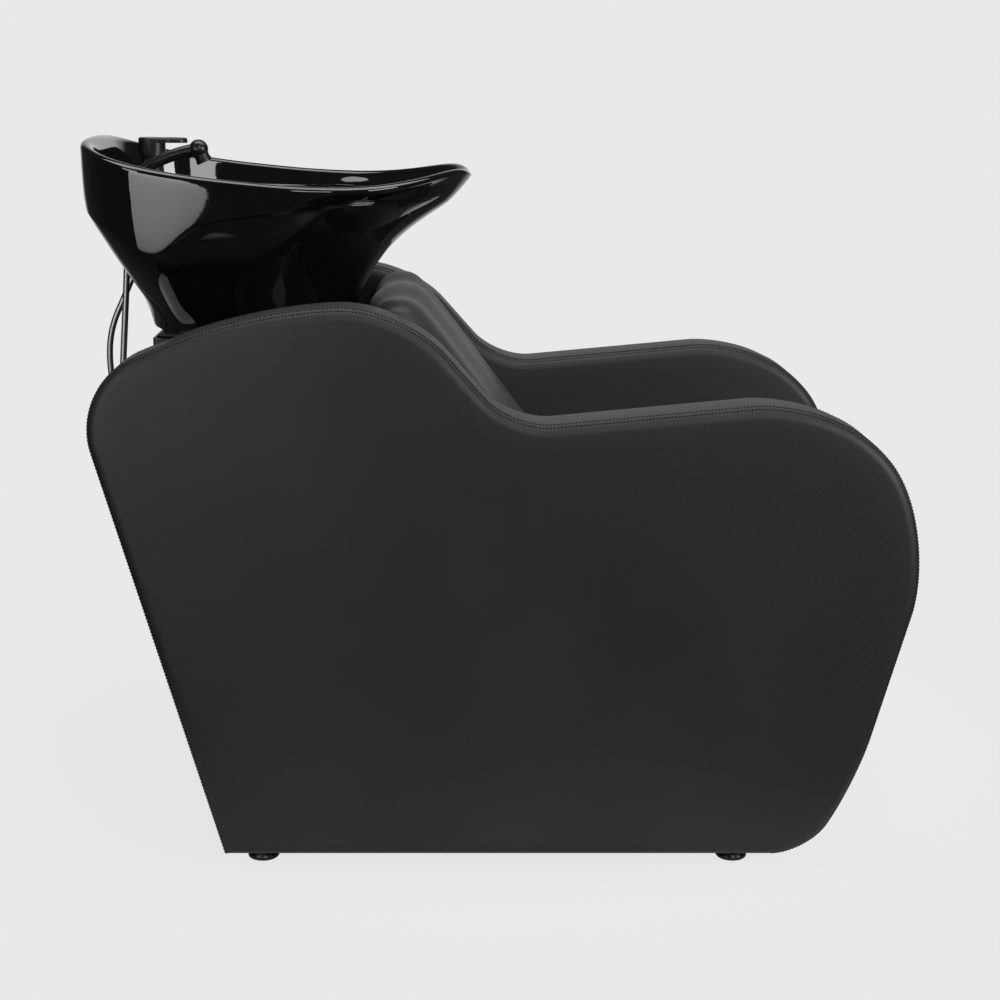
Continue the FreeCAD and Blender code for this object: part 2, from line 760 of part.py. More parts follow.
def back_profile(inset, y):
    radius = s.back_thickness / 2
    front = inset
    rear = s.back_thickness - inset
    bottom = s.back_foot_z + s.back_bottom_lift + inset
    crown = on_back(s.back_length, radius)

    def at_bottom(depth):
        start = on_back(0.0, depth)
        along = (bottom - start.z) / back_up.z
        return start + back_up * along

    roll = radius - inset
    spots = [
        at_bottom(front),
        crown + back_out * roll,
        crown + (back_out + back_up) * (roll * math.sqrt(0.5)),
        crown + back_up * roll,
        crown + (back_up - back_out) * (roll * math.sqrt(0.5)),
        crown - back_out * roll,
        at_bottom(rear),
    ]
    p = [spot + Vector(0, y, 0) for spot in spots]
    return Part.Wire([
        Part.makeLine(p[0], p[1]),
        Part.Arc(p[1], p[2], p[3]).toShape(),
        Part.Arc(p[3], p[4], p[5]).toShape(),
        Part.makeLine(p[5], p[6]),
        Part.makeLine(p[6], p[0]),
    ])


BACK_LAYER_SHARES = ((0.0, 1.0), (0.02, 0.5), (0.06, 0.16), (0.16, 0.02), (0.5, -BACK_CROWN_SHARE),
                     (0.84, 0.02), (0.94, 0.16), (0.98, 0.5), (1.0, 1.0))
back_width = 2 * (inner_y - s.back_side_gap)
back_layers = [back_profile(inset * s.back_edge_roll, (share - 0.5) * back_width)
               for share, inset in BACK_LAYER_SHARES]
publish(feature("back_pad", Part.makeLoft(back_layers, True)), "backrest_cushion")

board_start = (s.seat_board_top - on_back(0.0, pad_depth + s.back_board_thickness).z)
board_start = board_start / back_up.z
board_corner = on_back(board_start, pad_depth + s.back_board_thickness)
back_board = Part.makeBox(s.back_board_thickness, 2 * inner_y, s.back_board_length - board_start,
                          Vector(0, -inner_y, 0))
back_board.Placement = Placement(board_corner, back_turn).multiply(back_board.Placement)
below = Part.makeBox(s.overall_length, s.overall_width, s.seat_board_top,
                     Vector(-s.overall_length / 2, -s.overall_width / 2, 0))
publish(feature("back_panel", back_board.cut(below)), "backrest_board")

apron = box("apron_panel", ("apron_thickness", board_width,
                            "seat_board_top - seat_board_thickness - apron_bottom"),
            ("apron_x", rail_y, "apron_bottom"))
doc.recompute()
apron_round = doc.addObject("Part::Fillet", "apron_round")
apron_round.Base = apron
apron_round.Edges = [(i + 1, s.apron_edge_radius, s.apron_edge_radius)
                     for i, e in enumerate(apron.Shape.Edges)
                     if abs(e.CenterOfMass.x - s.apron_x - s.apron_thickness) < s.core_gap]
publish(apron_round, "front_apron")

# Bolts that hold the tilting mechanism on the beam.


def bolt(radius, head_radius, head_height, top, bottom, nut_height):
    shank = Part.makeCylinder(radius, top - bottom, Vector(0, 0, bottom))
    head = Part.makeCylinder(head_radius, head_height, Vector(0, 0, top))
    nut = Part.makeCylinder(head_radius, nut_height, Vector(0, 0, bottom))
    return shank.multiFuse([head, nut]).removeSplitter()


tilt_bolt = bolt(s.tilt_bolt_radius, s.tilt_bolt_head_radius, s.tilt_bolt_head_height,
                 tilt_plate_top, tilt_bolt_low, s.tilt_bolt_nut_height)
publish(feature("cap_bolts", Part.makeCompound(
    [tilt_bolt.translated(Vector(x, y, 0)) for x, y in tilt_bolt_spots])), "tilt_base_bolts")

# Fixed half of the tilting mechanism: plate, two cheeks and the stand of the front bumper.
tilt_holes = [("drain_x", "0", "tailpiece_slot_radius")]
tilt_holes += [(f"beam_x {a} tilt_bolt_spread_x", f"0 {b} tilt_bolt_spread_y",
                "tilt_bolt_radius + screw_gap") for a in "+-" for b in "+-"]
tilt_plate = plate("tilt_plate", rectangle(
    "tilt_plate_rear_x", "shroud_front_x - shroud_wall", "-shroud_half_width + shroud_wall",
    "shroud_half_width - shroud_wall"), "tilt_plate_thickness", ("0", "0", "tilt_plate_bottom"),
    tilt_holes)
cheek = box("cheek", ("cheek_length", "cheek_thickness",
                      "cheek_top - tilt_plate_bottom - tilt_plate_thickness"),
            ("tilt_plate_rear_x", "cheek_inner_y", "tilt_plate_bottom + tilt_plate_thickness"))
cheek_bore = cylinder("cheek_bore", "pivot_radius + pivot_bore_gap", "3 * cheek_thickness",
                      ("pivot_x", "cheek_inner_y - cheek_thickness", "pivot_z"), "y")
cheek_bored = cut("cheek_bored", cheek, cheek_bore)
bumper_stand = box("bumper_stand", ("bumper_stand_length", "bumper_stand_width",
                                    "bumper_stand_top - tilt_plate_bottom - tilt_plate_thickness"),
                   ("bumper_stand_x", "-bumper_stand_width / 2",
                    "tilt_plate_bottom + tilt_plate_thickness"))
publish(fuse("tilt_frame", tilt_plate, cheek_bored, mirrored("cheek_far", cheek_bored), bumper_stand),
        "tilt_base")
publish(cylinder("bumper", "bumper_radius", "cradle_bottom - bumper_stand_top - moving_gap",
                 ("bumper_stand_x + bumper_stand_length / 2", "0", "bumper_stand_top")), "tilt_bumper")

pivot_shank = cylinder("pivot_shank", "pivot_radius", "cheek_inner_y + cheek_thickness - pivot_nut_y",
                       ("pivot_x", "pivot_nut_y", "pivot_z"), "y")
pivot_head = cylinder("pivot_head", "pivot_head_radius", "pivot_head_height",
                      ("pivot_x", "cheek_inner_y + cheek_thickness", "pivot_z"), "y")
pivot_bolt = fuse("pivot_bolt", pivot_shank, pivot_head)
pivot_nut = cut("pivot_nut", cylinder("pivot_nut_disc", "pivot_head_radius", "pivot_nut_height",
                                      ("pivot_x", "pivot_nut_y", "pivot_z"), "y"), pivot_shank)
washer = cut("washer", cylinder(
    "washer_disc", "washer_radius", "cheek_inner_y - lug_inner_y - lug_thickness - moving_gap",
    ("pivot_x", "lug_inner_y + lug_thickness + moving_gap", "pivot_z"), "y"), cylinder(
    "washer_hole", "pivot_radius + pivot_bore_gap", "cheek_inner_y - lug_inner_y",
    ("pivot_x", "lug_inner_y", "pivot_z"), "y"))
bush = cut("bush", cylinder("bush_disc", "bush_radius", "lug_thickness",
                            ("pivot_x", "lug_inner_y", "pivot_z"), "y"), cylinder(
    "bush_hole", "pivot_radius + pivot_running_gap", "lug_thickness",
    ("pivot_x", "lug_inner_y", "pivot_z"), "y"))
for name, near in (("pivot_bolts", pivot_bolt), ("pivot_nuts", pivot_nut),
                   ("friction_washers", washer), ("pivot_bushes", bush)):
    publish(compound(name + "_pair", [near, mirrored(name + "_far", near)]), name)

# Shroud round the mechanism, with upright grooves on both sides.
shroud = doc.addObject("PartDesign::Body", "shroud")
shroud_sketch = outline(shroud, "XY_Plane", rectangle(
    "shroud_rear_x", "shroud_front_x", "-shroud_half_width", "shroud_half_width"))
shroud_pad = shroud.newObject("PartDesign::Pad", "shroud_pad")
shroud_pad.Profile = shroud_sketch
bind(shroud_pad, "Length", "shroud_top - shroud_bottom")
doc.recompute()
upright = [f"Edge{i + 1}" for i, e in enumerate(shroud_pad.Shape.Edges)
           if abs(e.Vertexes[0].Z - e.Vertexes[1].Z) > s.shroud_wall]
shroud_round = shroud.newObject("PartDesign::Fillet", "shroud_round")
shroud_round.Base = (shroud_pad, upright)
bind(shroud_round, "Radius", "shroud_corner_radius")
doc.recompute()
hollow_sketch = outline(shroud, "XY_Plane", rectangle(
    "shroud_rear_x + shroud_wall", "shroud_front_x - shroud_wall",
    "-shroud_half_width + shroud_wall", "shroud_half_width - shroud_wall"))
shroud_hollow = shroud.newObject("PartDesign::Pocket", "shroud_hollow")
shroud_hollow.Profile = hollow_sketch
shroud_hollow.Type = "ThroughAll"
shroud_hollow.Midplane = True
doc.recompute()
put(shroud, ("0", "0", "shroud_bottom"))
GROOVES = ("", " + groove_pitch", " + 2 * groove_pitch")
groove_boxes = [box(f"groove_{i}_{side}", ("groove_width", "2 * groove_depth",
                                          "shroud_top - shroud_bottom"),
                    ("groove_first_x" + step, edge, "shroud_bottom"))
                for i, step in enumerate(GROOVES)
                for side, edge in (("near", "-shroud_half_width - groove_depth"),
                                   ("far", "shroud_half_width - groove_depth"))]
publish(cut("shroud_grooved", shroud, *groove_boxes), "tilt_shroud")

# Moving half: cradle plate with two lugs, rubber pad and screws into the bowl.
cradle_front = "cradle_rear_x + cradle_length"
cradle_holes = [("drain_x", "0", "tailpiece_slot_radius")]
screw_spots = [(x, y) for x in ("cradle_screw_rear_x", "cradle_screw_front_x") for y in "+-"]
cradle_holes += [(x, f"0 {y} cradle_screw_y", "screw_radius + screw_gap") for x, y in screw_spots]
cradle_plate = plate("cradle_plate", rectangle("cradle_rear_x", cradle_front, "-cradle_width / 2",
                                               "cradle_width / 2"),
                     "cradle_thickness", ("0", "0", "cradle_bottom"), cradle_holes)
lug = box("lug", ("lug_width", "lug_thickness", "cradle_bottom - lug_bottom"),
          ("pivot_x - lug_width / 2", "lug_inner_y", "lug_bottom"))
lug_bore = cylinder("lug_bore", "bush_radius", "lug_thickness", ("pivot_x", "lug_inner_y", "pivot_z"),
                    "y")
lug_bored = cut("lug_bored", lug, lug_bore)
publish(fuse("cradle_frame", cradle_plate, lug_bored, mirrored("lug_far", lug_bored)), "cradle")
publish(plate("rubber_pad", rectangle(
    "cradle_rear_x + pad_margin", cradle_front + " - pad_margin", "-cradle_width / 2 + pad_margin",
    "cradle_width / 2 - pad_margin"), "pad_thickness", ("0", "0", "cradle_bottom + cradle_thickness"),
    [("drain_x", "0", "base_recess_radius")] + cradle_holes[1:]), "bowl_pad")
cradle_screw = Part.makeCylinder(
    s.screw_radius, s.bowl_base_z + s.cradle_screw_bite - s.cradle_bottom,
    Vector(0, 0, s.cradle_bottom))
cradle_screw = cradle_screw.fuse(Part.makeCylinder(
    s.screw_head_radius, s.screw_head_height, Vector(0, 0, s.cradle_bottom - s.screw_head_height)))
cradle_screw = cradle_screw.removeSplitter()
cradle_spots = [(x, sy * s.cradle_screw_y) for x in (s.cradle_screw_rear_x, s.cradle_screw_front_x)
                for sy in (-1, 1)]
publish(feature("bowl_screws", Part.makeCompound(
    [cradle_screw.translated(Vector(x, y, 0)) for x, y in cradle_spots])), "cradle_screws")

# Bowl: one skin through closed curves, from the edge of the base up the outside, over the rolled
# rim and down the inside to the waste; then the hollow under the deck and the holes.
TURN_STEPS = 28


def ring(rear, front, half_width, height, rear_power=4.0, front_power=1.7):
    centre = (rear + front) / 2
    reach = (front - rear) / 2
    spots = []
    for step in range(TURN_STEPS):
        angle = 2 * math.pi * step / TURN_STEPS
        c, w = math.cos(angle), math.sin(angle)
        power = rear_power if c < 0 else front_power
        x = centre + math.copysign(reach * abs(c) ** (2 / power), c)
        y = math.copysign(half_width * abs(w) ** (2 / power), w)
        spots.append(Vector(x, y, height(x, y) if callable(height) else height))
    return spots


bowl_rear_x = -s.overall_length / 2
REAR_CORNER_SHARE = 0.3


def rim_height(x, y):
    if x < s.rim_low_x:
        share = (s.rim_low_x - x) / (s.rim_low_x - bowl_rear_x)
        corner = 1 - REAR_CORNER_SHARE * (y / s.bowl_half_width) ** 2
        return s.rim_low_z + s.rim_rear_rise * corner * share ** 1.9
    share = (x - s.rim_low_x) / (s.bowl_front_x - s.rim_low_x)
    dip = math.exp(-(y / s.neck_notch_half_width) ** 2)
    return s.rim_low_z + (s.rim_front_rise - s.neck_notch_depth * dip) * share ** 2


def below_rim(fall):
    return lambda x, y: rim_height(x, y) - fall


# Each row: shares of the reach from the centre to the rear and front, of the half width, and of
# the height from the base to the lowest point of the rim, and how far the row leans with the crease
# under the raised band.
CREASE_LEAN_SHARE = 0.1
OUTER_RING_SHARES = (
    (0.703, 0.298, 0.59, 0.0),
    (0.718, 0.335, 0.637, 0.11),
    (0.742, 0.37, 0.70, 0.23),
    (0.778, 0.425, 0.78, 0.36),
    (0.828, 0.495, 0.853, 0.49),
    (0.878, 0.58, 0.903, 0.60),
    (0.925, 0.68, 0.932, 0.70, 0.4),
    (0.964, 0.765, 0.946, 0.77, 0.8),
    (0.997, 0.862, 0.957, 0.845, 1.0),
    (1.0, 0.885, 0.9865, 0.868, 1.0),
)
INNER_RING_SHARES = (
    (0.928, 0.891, 0.918, 0.925),
    (0.915, 0.872, 0.912, 0.905),
    (0.875, 0.855, 0.907, 0.893),
    (0.66, 0.84, 0.902, 0.888),
    (0.615, 0.812, 0.893, 0.865),
    (0.595, 0.69, 0.868, 0.78),
    (0.575, 0.57, 0.83, 0.68),
    (0.548, 0.45, 0.765, 0.55),
    (0.51, 0.355, 0.67, 0.42),
    (0.465, 0.27, 0.555, 0.31),
    (0.40, 0.20, 0.43, 0.22),
    (0.335, 0.125, 0.30, 0.165),
)
RIM_TURN_SHARES = (0.0, 0.25, 0.5, 0.75, 1.0)
rear_reach = s.bowl_centre_x - bowl_rear_x
front_reach = s.bowl_front_x - s.bowl_centre_x
bowl_height = s.rim_low_z - s.bowl_base_z


def share_ring(row):
    rear, front, half, height, *lean = row
    level = s.bowl_base_z + height * bowl_height
    slope = CREASE_LEAN_SHARE * sum(lean)

    def level_at(x, y):
        return level + slope * (x - s.drain_x) * min(1.0, (2 * y / s.bowl_half_width) ** 2)

    return ring(s.bowl_centre_x - rear * rear_reach, s.bowl_centre_x + front * front_reach,
                half * s.bowl_half_width, level_at, 2.6 + 1.4 * min(1.0, height) ** 2)


def rim_ring(turn):
    inset = s.rim_wall / 2 * (1 - math.cos(math.pi * turn))
    return ring(bowl_rear_x + inset, s.bowl_front_x - inset, s.bowl_half_width - inset,
                below_rim(s.rim_roll * (1 - math.sin(math.pi * turn))))


def closed_curve(spots):
    curve = Part.BSplineCurve()
    knots = [step / TURN_STEPS for step in range(TURN_STEPS + 1)]
    curve.interpolate(Points=spots, PeriodicFlag=True, Parameters=knots)
    return Part.Wire([curve.toShape()])


skin = [share_ring(row) for row in OUTER_RING_SHARES]
skin += [rim_ring(turn) for turn in RIM_TURN_SHARES]
skin += [share_ring(row) for row in INNER_RING_SHARES]
skin.append(ring(s.drain_x - s.drain_seat_radius, s.drain_x + s.drain_seat_radius,
                 s.drain_seat_radius, s.bowl_floor_z, 2.0, 2.0))
skin = [closed_curve(spots) for spots in skin]
walls = [Part.makeRuledSurface(low.Edges[0], high.Edges[0]) for low, high in zip(skin, skin[1:])]
ends = [Part.Face(skin[0]), Part.Face(skin[-1])]
bowl_shell = Part.makeShell(walls + ends)
bowl_shell.sewShape()
bowl_solid = Part.makeSolid(bowl_shell)
bowl_solid.fix(s.screw_gap, s.screw_gap, s.screw_gap)
if bowl_solid.Volume < 0:
    bowl_solid.reverse()

POCKET_SHARES = ((0.0, 1.0), (1.0, 1.0), (0.93, 0.70), (0.68, 0.57), (0.62, 0.40), (0.0, 0.0))
pocket_reach = s.mixer_x + s.mixer_flange_radius - s.pocket_rear_x
pocket_height = s.deck_underside_z - s.pocket_bottom
pocket_spots = [Vector(s.pocket_rear_x + x * pocket_reach, -s.pocket_half_width,
                       s.pocket_bottom + z * pocket_height) for x, z in POCKET_SHARES]
pocket = Part.Face(Part.makePolygon(pocket_spots + pocket_spots[:1]))
pocket = pocket.extrude(Vector(0, 2 * s.pocket_half_width, 0))
deck_spots = ((s.mixer_x, s.mixer_y, s.mixer_hole_radius), (s.holder_x, s.holder_y, s.holder_hole_radius))
bowl = bowl_solid.cut(pocket)
for x, y, radius in deck_spots:
    boss = Part.makeCylinder(s.deck_boss_radius, s.deck_z - s.deck_underside_z,
                             Vector(x, y, s.deck_underside_z))
    room = Part.makeCylinder(s.deck_boss_radius, s.rim_low_z - s.deck_z, Vector(x, y, s.deck_z))
    hole = Part.makeCylinder(radius, s.rim_low_z - s.deck_underside_z, Vector(x, y, s.deck_underside_z))
    bowl = bowl.cut(room).fuse(boss).cut(hole)
bowl = bowl.cut(Part.makeCylinder(s.drain_hole_radius, bowl_height, Vector(s.drain_x, 0, s.bowl_base_z)))
bowl = bowl.cut(Part.makeCylinder(s.base_recess_radius, s.base_recess_top - s.bowl_base_z,
                                  Vector(s.drain_x, 0, s.bowl_base_z)))
for x, y in cradle_spots:
    bowl = bowl.cut(Part.makeCylinder(s.screw_radius + s.screw_gap, s.cradle_screw_bite + s.screw_gap,
                                      Vector(x, y, s.bowl_base_z)))
publish(feature("ceramic", bowl), "bowl")

# Waste: flanged tube through the floor, its seal and nut, the outlet and the loose strainer.
waste_at = ("drain_x", "0", "0")
seal_top = "bowl_floor_z + drain_seal_height"
flange_top = seal_top + " + drain_flange_height"
publish(turned("waste_flange", [
    ("tail_neck_radius + tail_gap", "drain_tube_bottom"),
    ("drain_tube_radius", "drain_tube_bottom"),
    ("drain_tube_radius", seal_top),
    ("drain_flange_radius", seal_top),
    ("drain_flange_radius - drain_flange_height / 2", flange_top),
    ("tail_neck_radius + tail_gap", flange_top),
], waste_at), "drain_flange")
publish(turned("waste_seal", [
    ("drain_hole_radius", "bowl_floor_z"),
    ("drain_flange_radius", "bowl_floor_z"),
    ("drain_flange_radius", seal_top),
    ("drain_hole_radius", seal_top),
], waste_at), "drain_seal")
publish(cut("waste_nut", prism("waste_nut_hex", "drain_nut_radius", "drain_nut_height",
                               ("drain_x", "0", "base_recess_top - drain_nut_height")),
            cylinder("waste_nut_hole", "drain_tube_radius + screw_gap", "drain_nut_height",
                     ("drain_x", "0", "base_recess_top - drain_nut_height"))), "drain_nut")
publish(turned("waste_outlet", [
    ("tail_radius - tail_wall", "tail_bottom"),
    ("tail_radius", "tail_bottom"),
    ("tail_radius", "drain_tube_bottom - tail_shoulder"),
    ("tail_neck_radius", "drain_tube_bottom - tail_shoulder"),
    ("tail_neck_radius", "tail_top"),
    ("tail_radius - tail_wall", "tail_top"),
], waste_at), "waste_tailpiece")
strainer_low = flange_top + " + moving_gap"
strainer_dome = turned("strainer_dome", [
    ("0", strainer_low),
    ("strainer_plug_radius - strainer_height", strainer_low),
    ("strainer_plug_radius - strainer_height", strainer_low + " - strainer_plug_depth"),
    ("strainer_plug_radius", strainer_low + " - strainer_plug_depth"),
    ("strainer_plug_radius", strainer_low),
    ("strainer_radius", strainer_low),
    ("strainer_radius - strainer_height / 2", strainer_low + " + strainer_height"),
    ("0", strainer_low + " + strainer_height"),
], waste_at)
strainer_spots = [Vector(s.drain_x + s.strainer_ring_radius * math.cos(k * math.pi / 4),
                         s.strainer_ring_radius * math.sin(k * math.pi / 4), s.bowl_floor_z)
                  for k in range(8)] + [Vector(s.drain_x, 0, s.bowl_floor_z)]
strainer_holes = feature("strainer_holes", Part.makeCompound(
    [Part.makeCylinder(s.strainer_hole_radius, s.strainer_plug_depth, spot) for spot in strainer_spots]))
publish(cut("strainer", strainer_dome, strainer_holes), "hair_strainer")

# Tap: ball-topped body, cap with a loop lever that turns and lifts about the ball's centre.
mixer_at = ("mixer_x", "mixer_y", "0")
publish(turned("tap_seal", [
    ("mixer_hole_radius", "deck_z"),
    ("mixer_flange_radius", "deck_z"),
    ("mixer_flange_radius", "deck_z + mixer_seal_height"),
    ("mixer_hole_radius", "deck_z + mixer_seal_height"),
], mixer_at), "mixer_seal")
mixer_centre = Vector(s.mixer_x, s.mixer_y, 0)


def spun(edges_spec):
    edges = []
    last = edges_spec[0]
    for step in edges_spec[1:] + edges_spec[:1]:
        if len(step) == 4:
            edges.append(Part.Arc(Vector(last[-2], 0, last[-1]), Vector(step[0], 0, step[1]),
                                  Vector(step[2], 0, step[3])).toShape())
        else:
            edges.append(Part.makeLine(Vector(last[-2], 0, last[-1]), Vector(step[0], 0, step[1])))
        last = step
    return Part.Face(Part.Wire(edges)).revolve(Vector(), Vector(0, 0, 1), 360)


def on_ball(radius, height):
    return math.sqrt(radius ** 2 - (height - s.mixer_ball_z) ** 2)


ball_low = s.mixer_ball_z - s.mixer_neck_drop
ball_high = s.mixer_ball_z + math.sqrt(s.mixer_ball_radius ** 2 - s.mixer_bore_radius ** 2)
ball_mid = (ball_low + ball_high) / 2
flange_low = s.deck_z + s.mixer_seal_height
tap_shape = spun([
    (0.0, s.mixer_shank_bottom),
    (s.mixer_shank_radius, s.mixer_shank_bottom),
    (s.mixer_shank_radius, flange_low),
    (s.mixer_flange_radius, flange_low),
    (s.mixer_flange_radius, flange_low + s.mixer_flange_height / 2),
    (s.mixer_body_radius, flange_low + s.mixer_flange_height),
    (s.mixer_body_radius, ball_low),
    (on_ball(s.mixer_ball_radius, ball_low), ball_low),
    (on_ball(s.mixer_ball_radius, ball_mid), ball_mid, s.mixer_bore_radius, ball_high),
    (s.mixer_bore_radius, s.mixer_bore_bottom),
    (0.0, s.mixer_bore_bottom),
])
tap_shape.translate(mixer_centre)
publish(feature("tap_body", tap_shape), "mixer_body")
publish(cut("tap_nut", prism("tap_nut_hex", "mixer_nut_radius", "mixer_nut_height",
                             ("mixer_x", "mixer_y", "deck_underside_z - mixer_nut_height")),
            cylinder("tap_nut_hole", "mixer_shank_radius + screw_gap", "mixer_nut_height",
                     ("mixer_x", "mixer_y", "deck_underside_z - mixer_nut_height"))), "mixer_nut")
publish(cylinder("cartridge", "mixer_bore_radius - screw_gap", "cartridge_top - mixer_bore_bottom",
                 ("mixer_x", "mixer_y", "mixer_bore_bottom")), "mixer_cartridge")
socket = s.stem_ball_radius + s.moving_gap
socket_low = s.mixer_ball_z - socket
swivel_shape = spun([
    (0.0, s.cartridge_top + s.moving_gap),
    (s.swivel_radius, s.cartridge_top + s.moving_gap),
    (s.swivel_radius, s.swivel_top),
    (on_ball(socket, s.swivel_top), s.swivel_top),
    (on_ball(socket, s.mixer_ball_z - socket / 2), s.mixer_ball_z - socket / 2, 0.0, socket_low),
])
swivel_shape.translate(mixer_centre)
publish(feature("tap_swivel", swivel_shape), "mixer_swivel")

cap = Part.makeCylinder(s.cap_radius, s.cap_top - s.cap_bottom, Vector(0, 0, s.cap_bottom))
loop_low = s.cap_top - s.loop_thickness
loop_tip = Part.makeCylinder(s.loop_end_radius, s.loop_thickness, Vector(s.loop_reach, 0, loop_low))
sine = (s.cap_radius - s.loop_end_radius) / s.loop_reach
cosine = math.sqrt(1 - sine ** 2)


def tangent(centre_x, radius, sign):
    return Vector(centre_x + radius * sine, sign * radius * cosine, loop_low)


web = Part.Face(Part.makePolygon([
    tangent(0.0, s.cap_radius, -1), tangent(s.loop_reach, s.loop_end_radius, -1),
    tangent(s.loop_reach, s.loop_end_radius, 1), tangent(0.0, s.cap_radius, 1),
    tangent(0.0, s.cap_radius, -1)])).extrude(Vector(0, 0, s.loop_thickness))
lever = cap.multiFuse([loop_tip, web]).removeSplitter()
top_edges = [e for e in lever.Edges if abs(e.BoundBox.ZMin - s.cap_top) < s.screw_gap
             and abs(e.BoundBox.ZMax - s.cap_top) < s.screw_gap]
lever = lever.makeFillet(s.cap_edge_radius, top_edges)
hole_radius = s.loop_end_radius - s.loop_bar
hole_tip = Part.makeCylinder(hole_radius, s.loop_thickness, Vector(s.loop_reach, 0, loop_low))
hole_web = Part.makeBox(s.loop_reach - s.loop_hole_start, 2 * hole_radius, s.loop_thickness,
                        Vector(s.loop_hole_start, -hole_radius, loop_low))
lever = lever.cut(hole_tip).cut(hole_web)
lever = lever.cut(Part.makeSphere(s.cap_cavity_radius, Vector(0, 0, s.mixer_ball_z)))
stem = Part.makeCylinder(s.stem_radius, loop_low - s.mixer_ball_z + s.loop_bar, Vector(0, 0, s.mixer_ball_z))
lever = lever.multiFuse([stem, Part.makeSphere(s.stem_ball_radius, Vector(0, 0, s.mixer_ball_z))])
lever = lever.removeSplitter()
mark_way = Vector(sine, -cosine, 0)
mark_at = mark_way * (s.cap_radius - s.indicator_depth) + Vector(cosine, sine, 0) * s.loop_hole_start
mark_at = mark_at + Vector(0, 0, s.cap_top - s.loop_thickness / 2)
mark = Part.makeCylinder(s.indicator_radius, 2 * s.indicator_depth, mark_at, mark_way)
lever = lever.cut(mark)
lever.translate(mixer_centre)
publish(feature("tap_lever", lever), "mixer_lever")
mark.translate(mixer_centre)
publish(feature("tap_mark", mark), "lever_indicator")
inlets = [cylinder(f"inlet_{name}", "inlet_radius", "inlet_length",
                   ("mixer_x", f"mixer_y {sign} inlet_spread", "mixer_shank_bottom - inlet_length"))
          for name, sign in (("hot", "-"), ("cold", "+"))]
publish(compound("tap_inlets", inlets), "mixer_inlets")

# Hand shower: holder sleeve in the deck, leaning with the hose; the rest follows the same axis.
shower_place = Placement(Vector(s.holder_x, s.holder_y, s.deck_z),
                         Rotation(Vector(0, 1, 0), s.holder_lean))


def placed(shape):
    shape.Placement = shower_place.multiply(shape.Placement)
    return shape


publish(feature("sleeve", placed(spun([
    (s.holder_bore_radius, -s.holder_sleeve_depth),
    (s.holder_sleeve_radius, -s.holder_sleeve_depth),
    (s.holder_sleeve_radius, s.holder_flange_lift),
    (s.holder_flange_radius, s.holder_flange_lift),
    (s.holder_flange_radius, s.holder_flange_height),
    (s.holder_mouth_radius, s.holder_flange_height),
    (s.holder_bore_radius, -s.holder_mouth_depth),
]))), "shower_holder")
hex_spots = [Vector(s.holder_nut_radius * math.cos(k * math.pi / 3),
                    s.holder_nut_radius * math.sin(k * math.pi / 3),
                    -s.holder_nut_top - s.holder_nut_height) for k in range(7)]
holder_nut = Part.Face(Part.makePolygon(hex_spots)).extrude(Vector(0, 0, s.holder_nut_height))
holder_nut = holder_nut.cut(Part.makeCylinder(
    s.holder_sleeve_radius + s.screw_gap, s.holder_nut_height,
    Vector(0, 0, -s.holder_nut_top - s.holder_nut_height)))
publish(feature("sleeve_nut", placed(holder_nut)), "holder_nut")
publish(feature("cone_nut", placed(spun([
    (s.hose_radius, -s.cone_bottom),
    (s.cone_bottom_radius, -s.cone_bottom),
    (s.cone_top_radius - s.moving_gap, s.holder_flange_height),
    (s.cone_top_radius - s.moving_gap, s.cone_top),
    (s.hose_radius, s.cone_top),
]))), "shower_cone_nut")

# Hose: straight runs joined by tangent arcs. The upper stretch rises with the hand shower and
# wanders a little; the loop below it returns to the tap. Points are shares of the hose drop.
HOSE_UPPER_SHARES = ((0.0, 0.0, 0.0), (0.003, 0.002, 0.36), (-0.003, 0.002, 0.70), (0.0, 0.0, 1.0))
HOSE_LOOP_SHARES = ((-0.0338, 0.0, -0.60), (-0.018, 0.004, -0.725), (0.0175, 0.009, -0.85),
                    (0.0354, 0.009, -1.007), (0.0354, 0.182, -1.018), (0.0175, 0.182, -0.85),
                    (-0.022, 0.182, -0.725), (-0.0575, 0.182, -0.60), (-0.085, 0.182, -0.475),
                    (-0.080, 0.182, -0.364), (-0.036, 0.182, -0.264), (-0.006, 0.182, -0.180),
                    (0.005, 0.182, -0.109))


def rounded_path(points):
    edges = []
    last = points[0]
    for i in range(1, len(points) - 1):
        come = points[i] - points[i - 1]
        leave = points[i + 1] - points[i]
        turn = come.getAngle(leave)
        radius = 0.45 * min(come.Length, leave.Length) / math.tan(turn / 2)
        take = radius * math.tan(turn / 2)
        come.normalize()
        leave.normalize()
        start = points[i] - come * take
        finish = points[i] + leave * take
        toward = Vector(leave - come).normalize()
        middle = points[i] + toward * (radius / math.cos(turn / 2) - radius)
        print("hose bend radius", round(radius, 1))
        edges.append(Part.makeLine(last, start))
        edges.append(Part.Arc(start, middle, finish).toShape())
        last = finish
    edges.append(Part.makeLine(last, points[-1]))
    return Part.Wire(edges)


def tube(points, radius):
    path = rounded_path(points)
    way = (points[1] - points[0]).normalize()
    disc = Part.Wire(Part.makeCircle(radius, points[0], way))
    made = path.makePipeShell([disc], True, False)
    print("hose volume share", round(made.Volume / (math.pi * radius ** 2 * path.Length), 4))
    return made


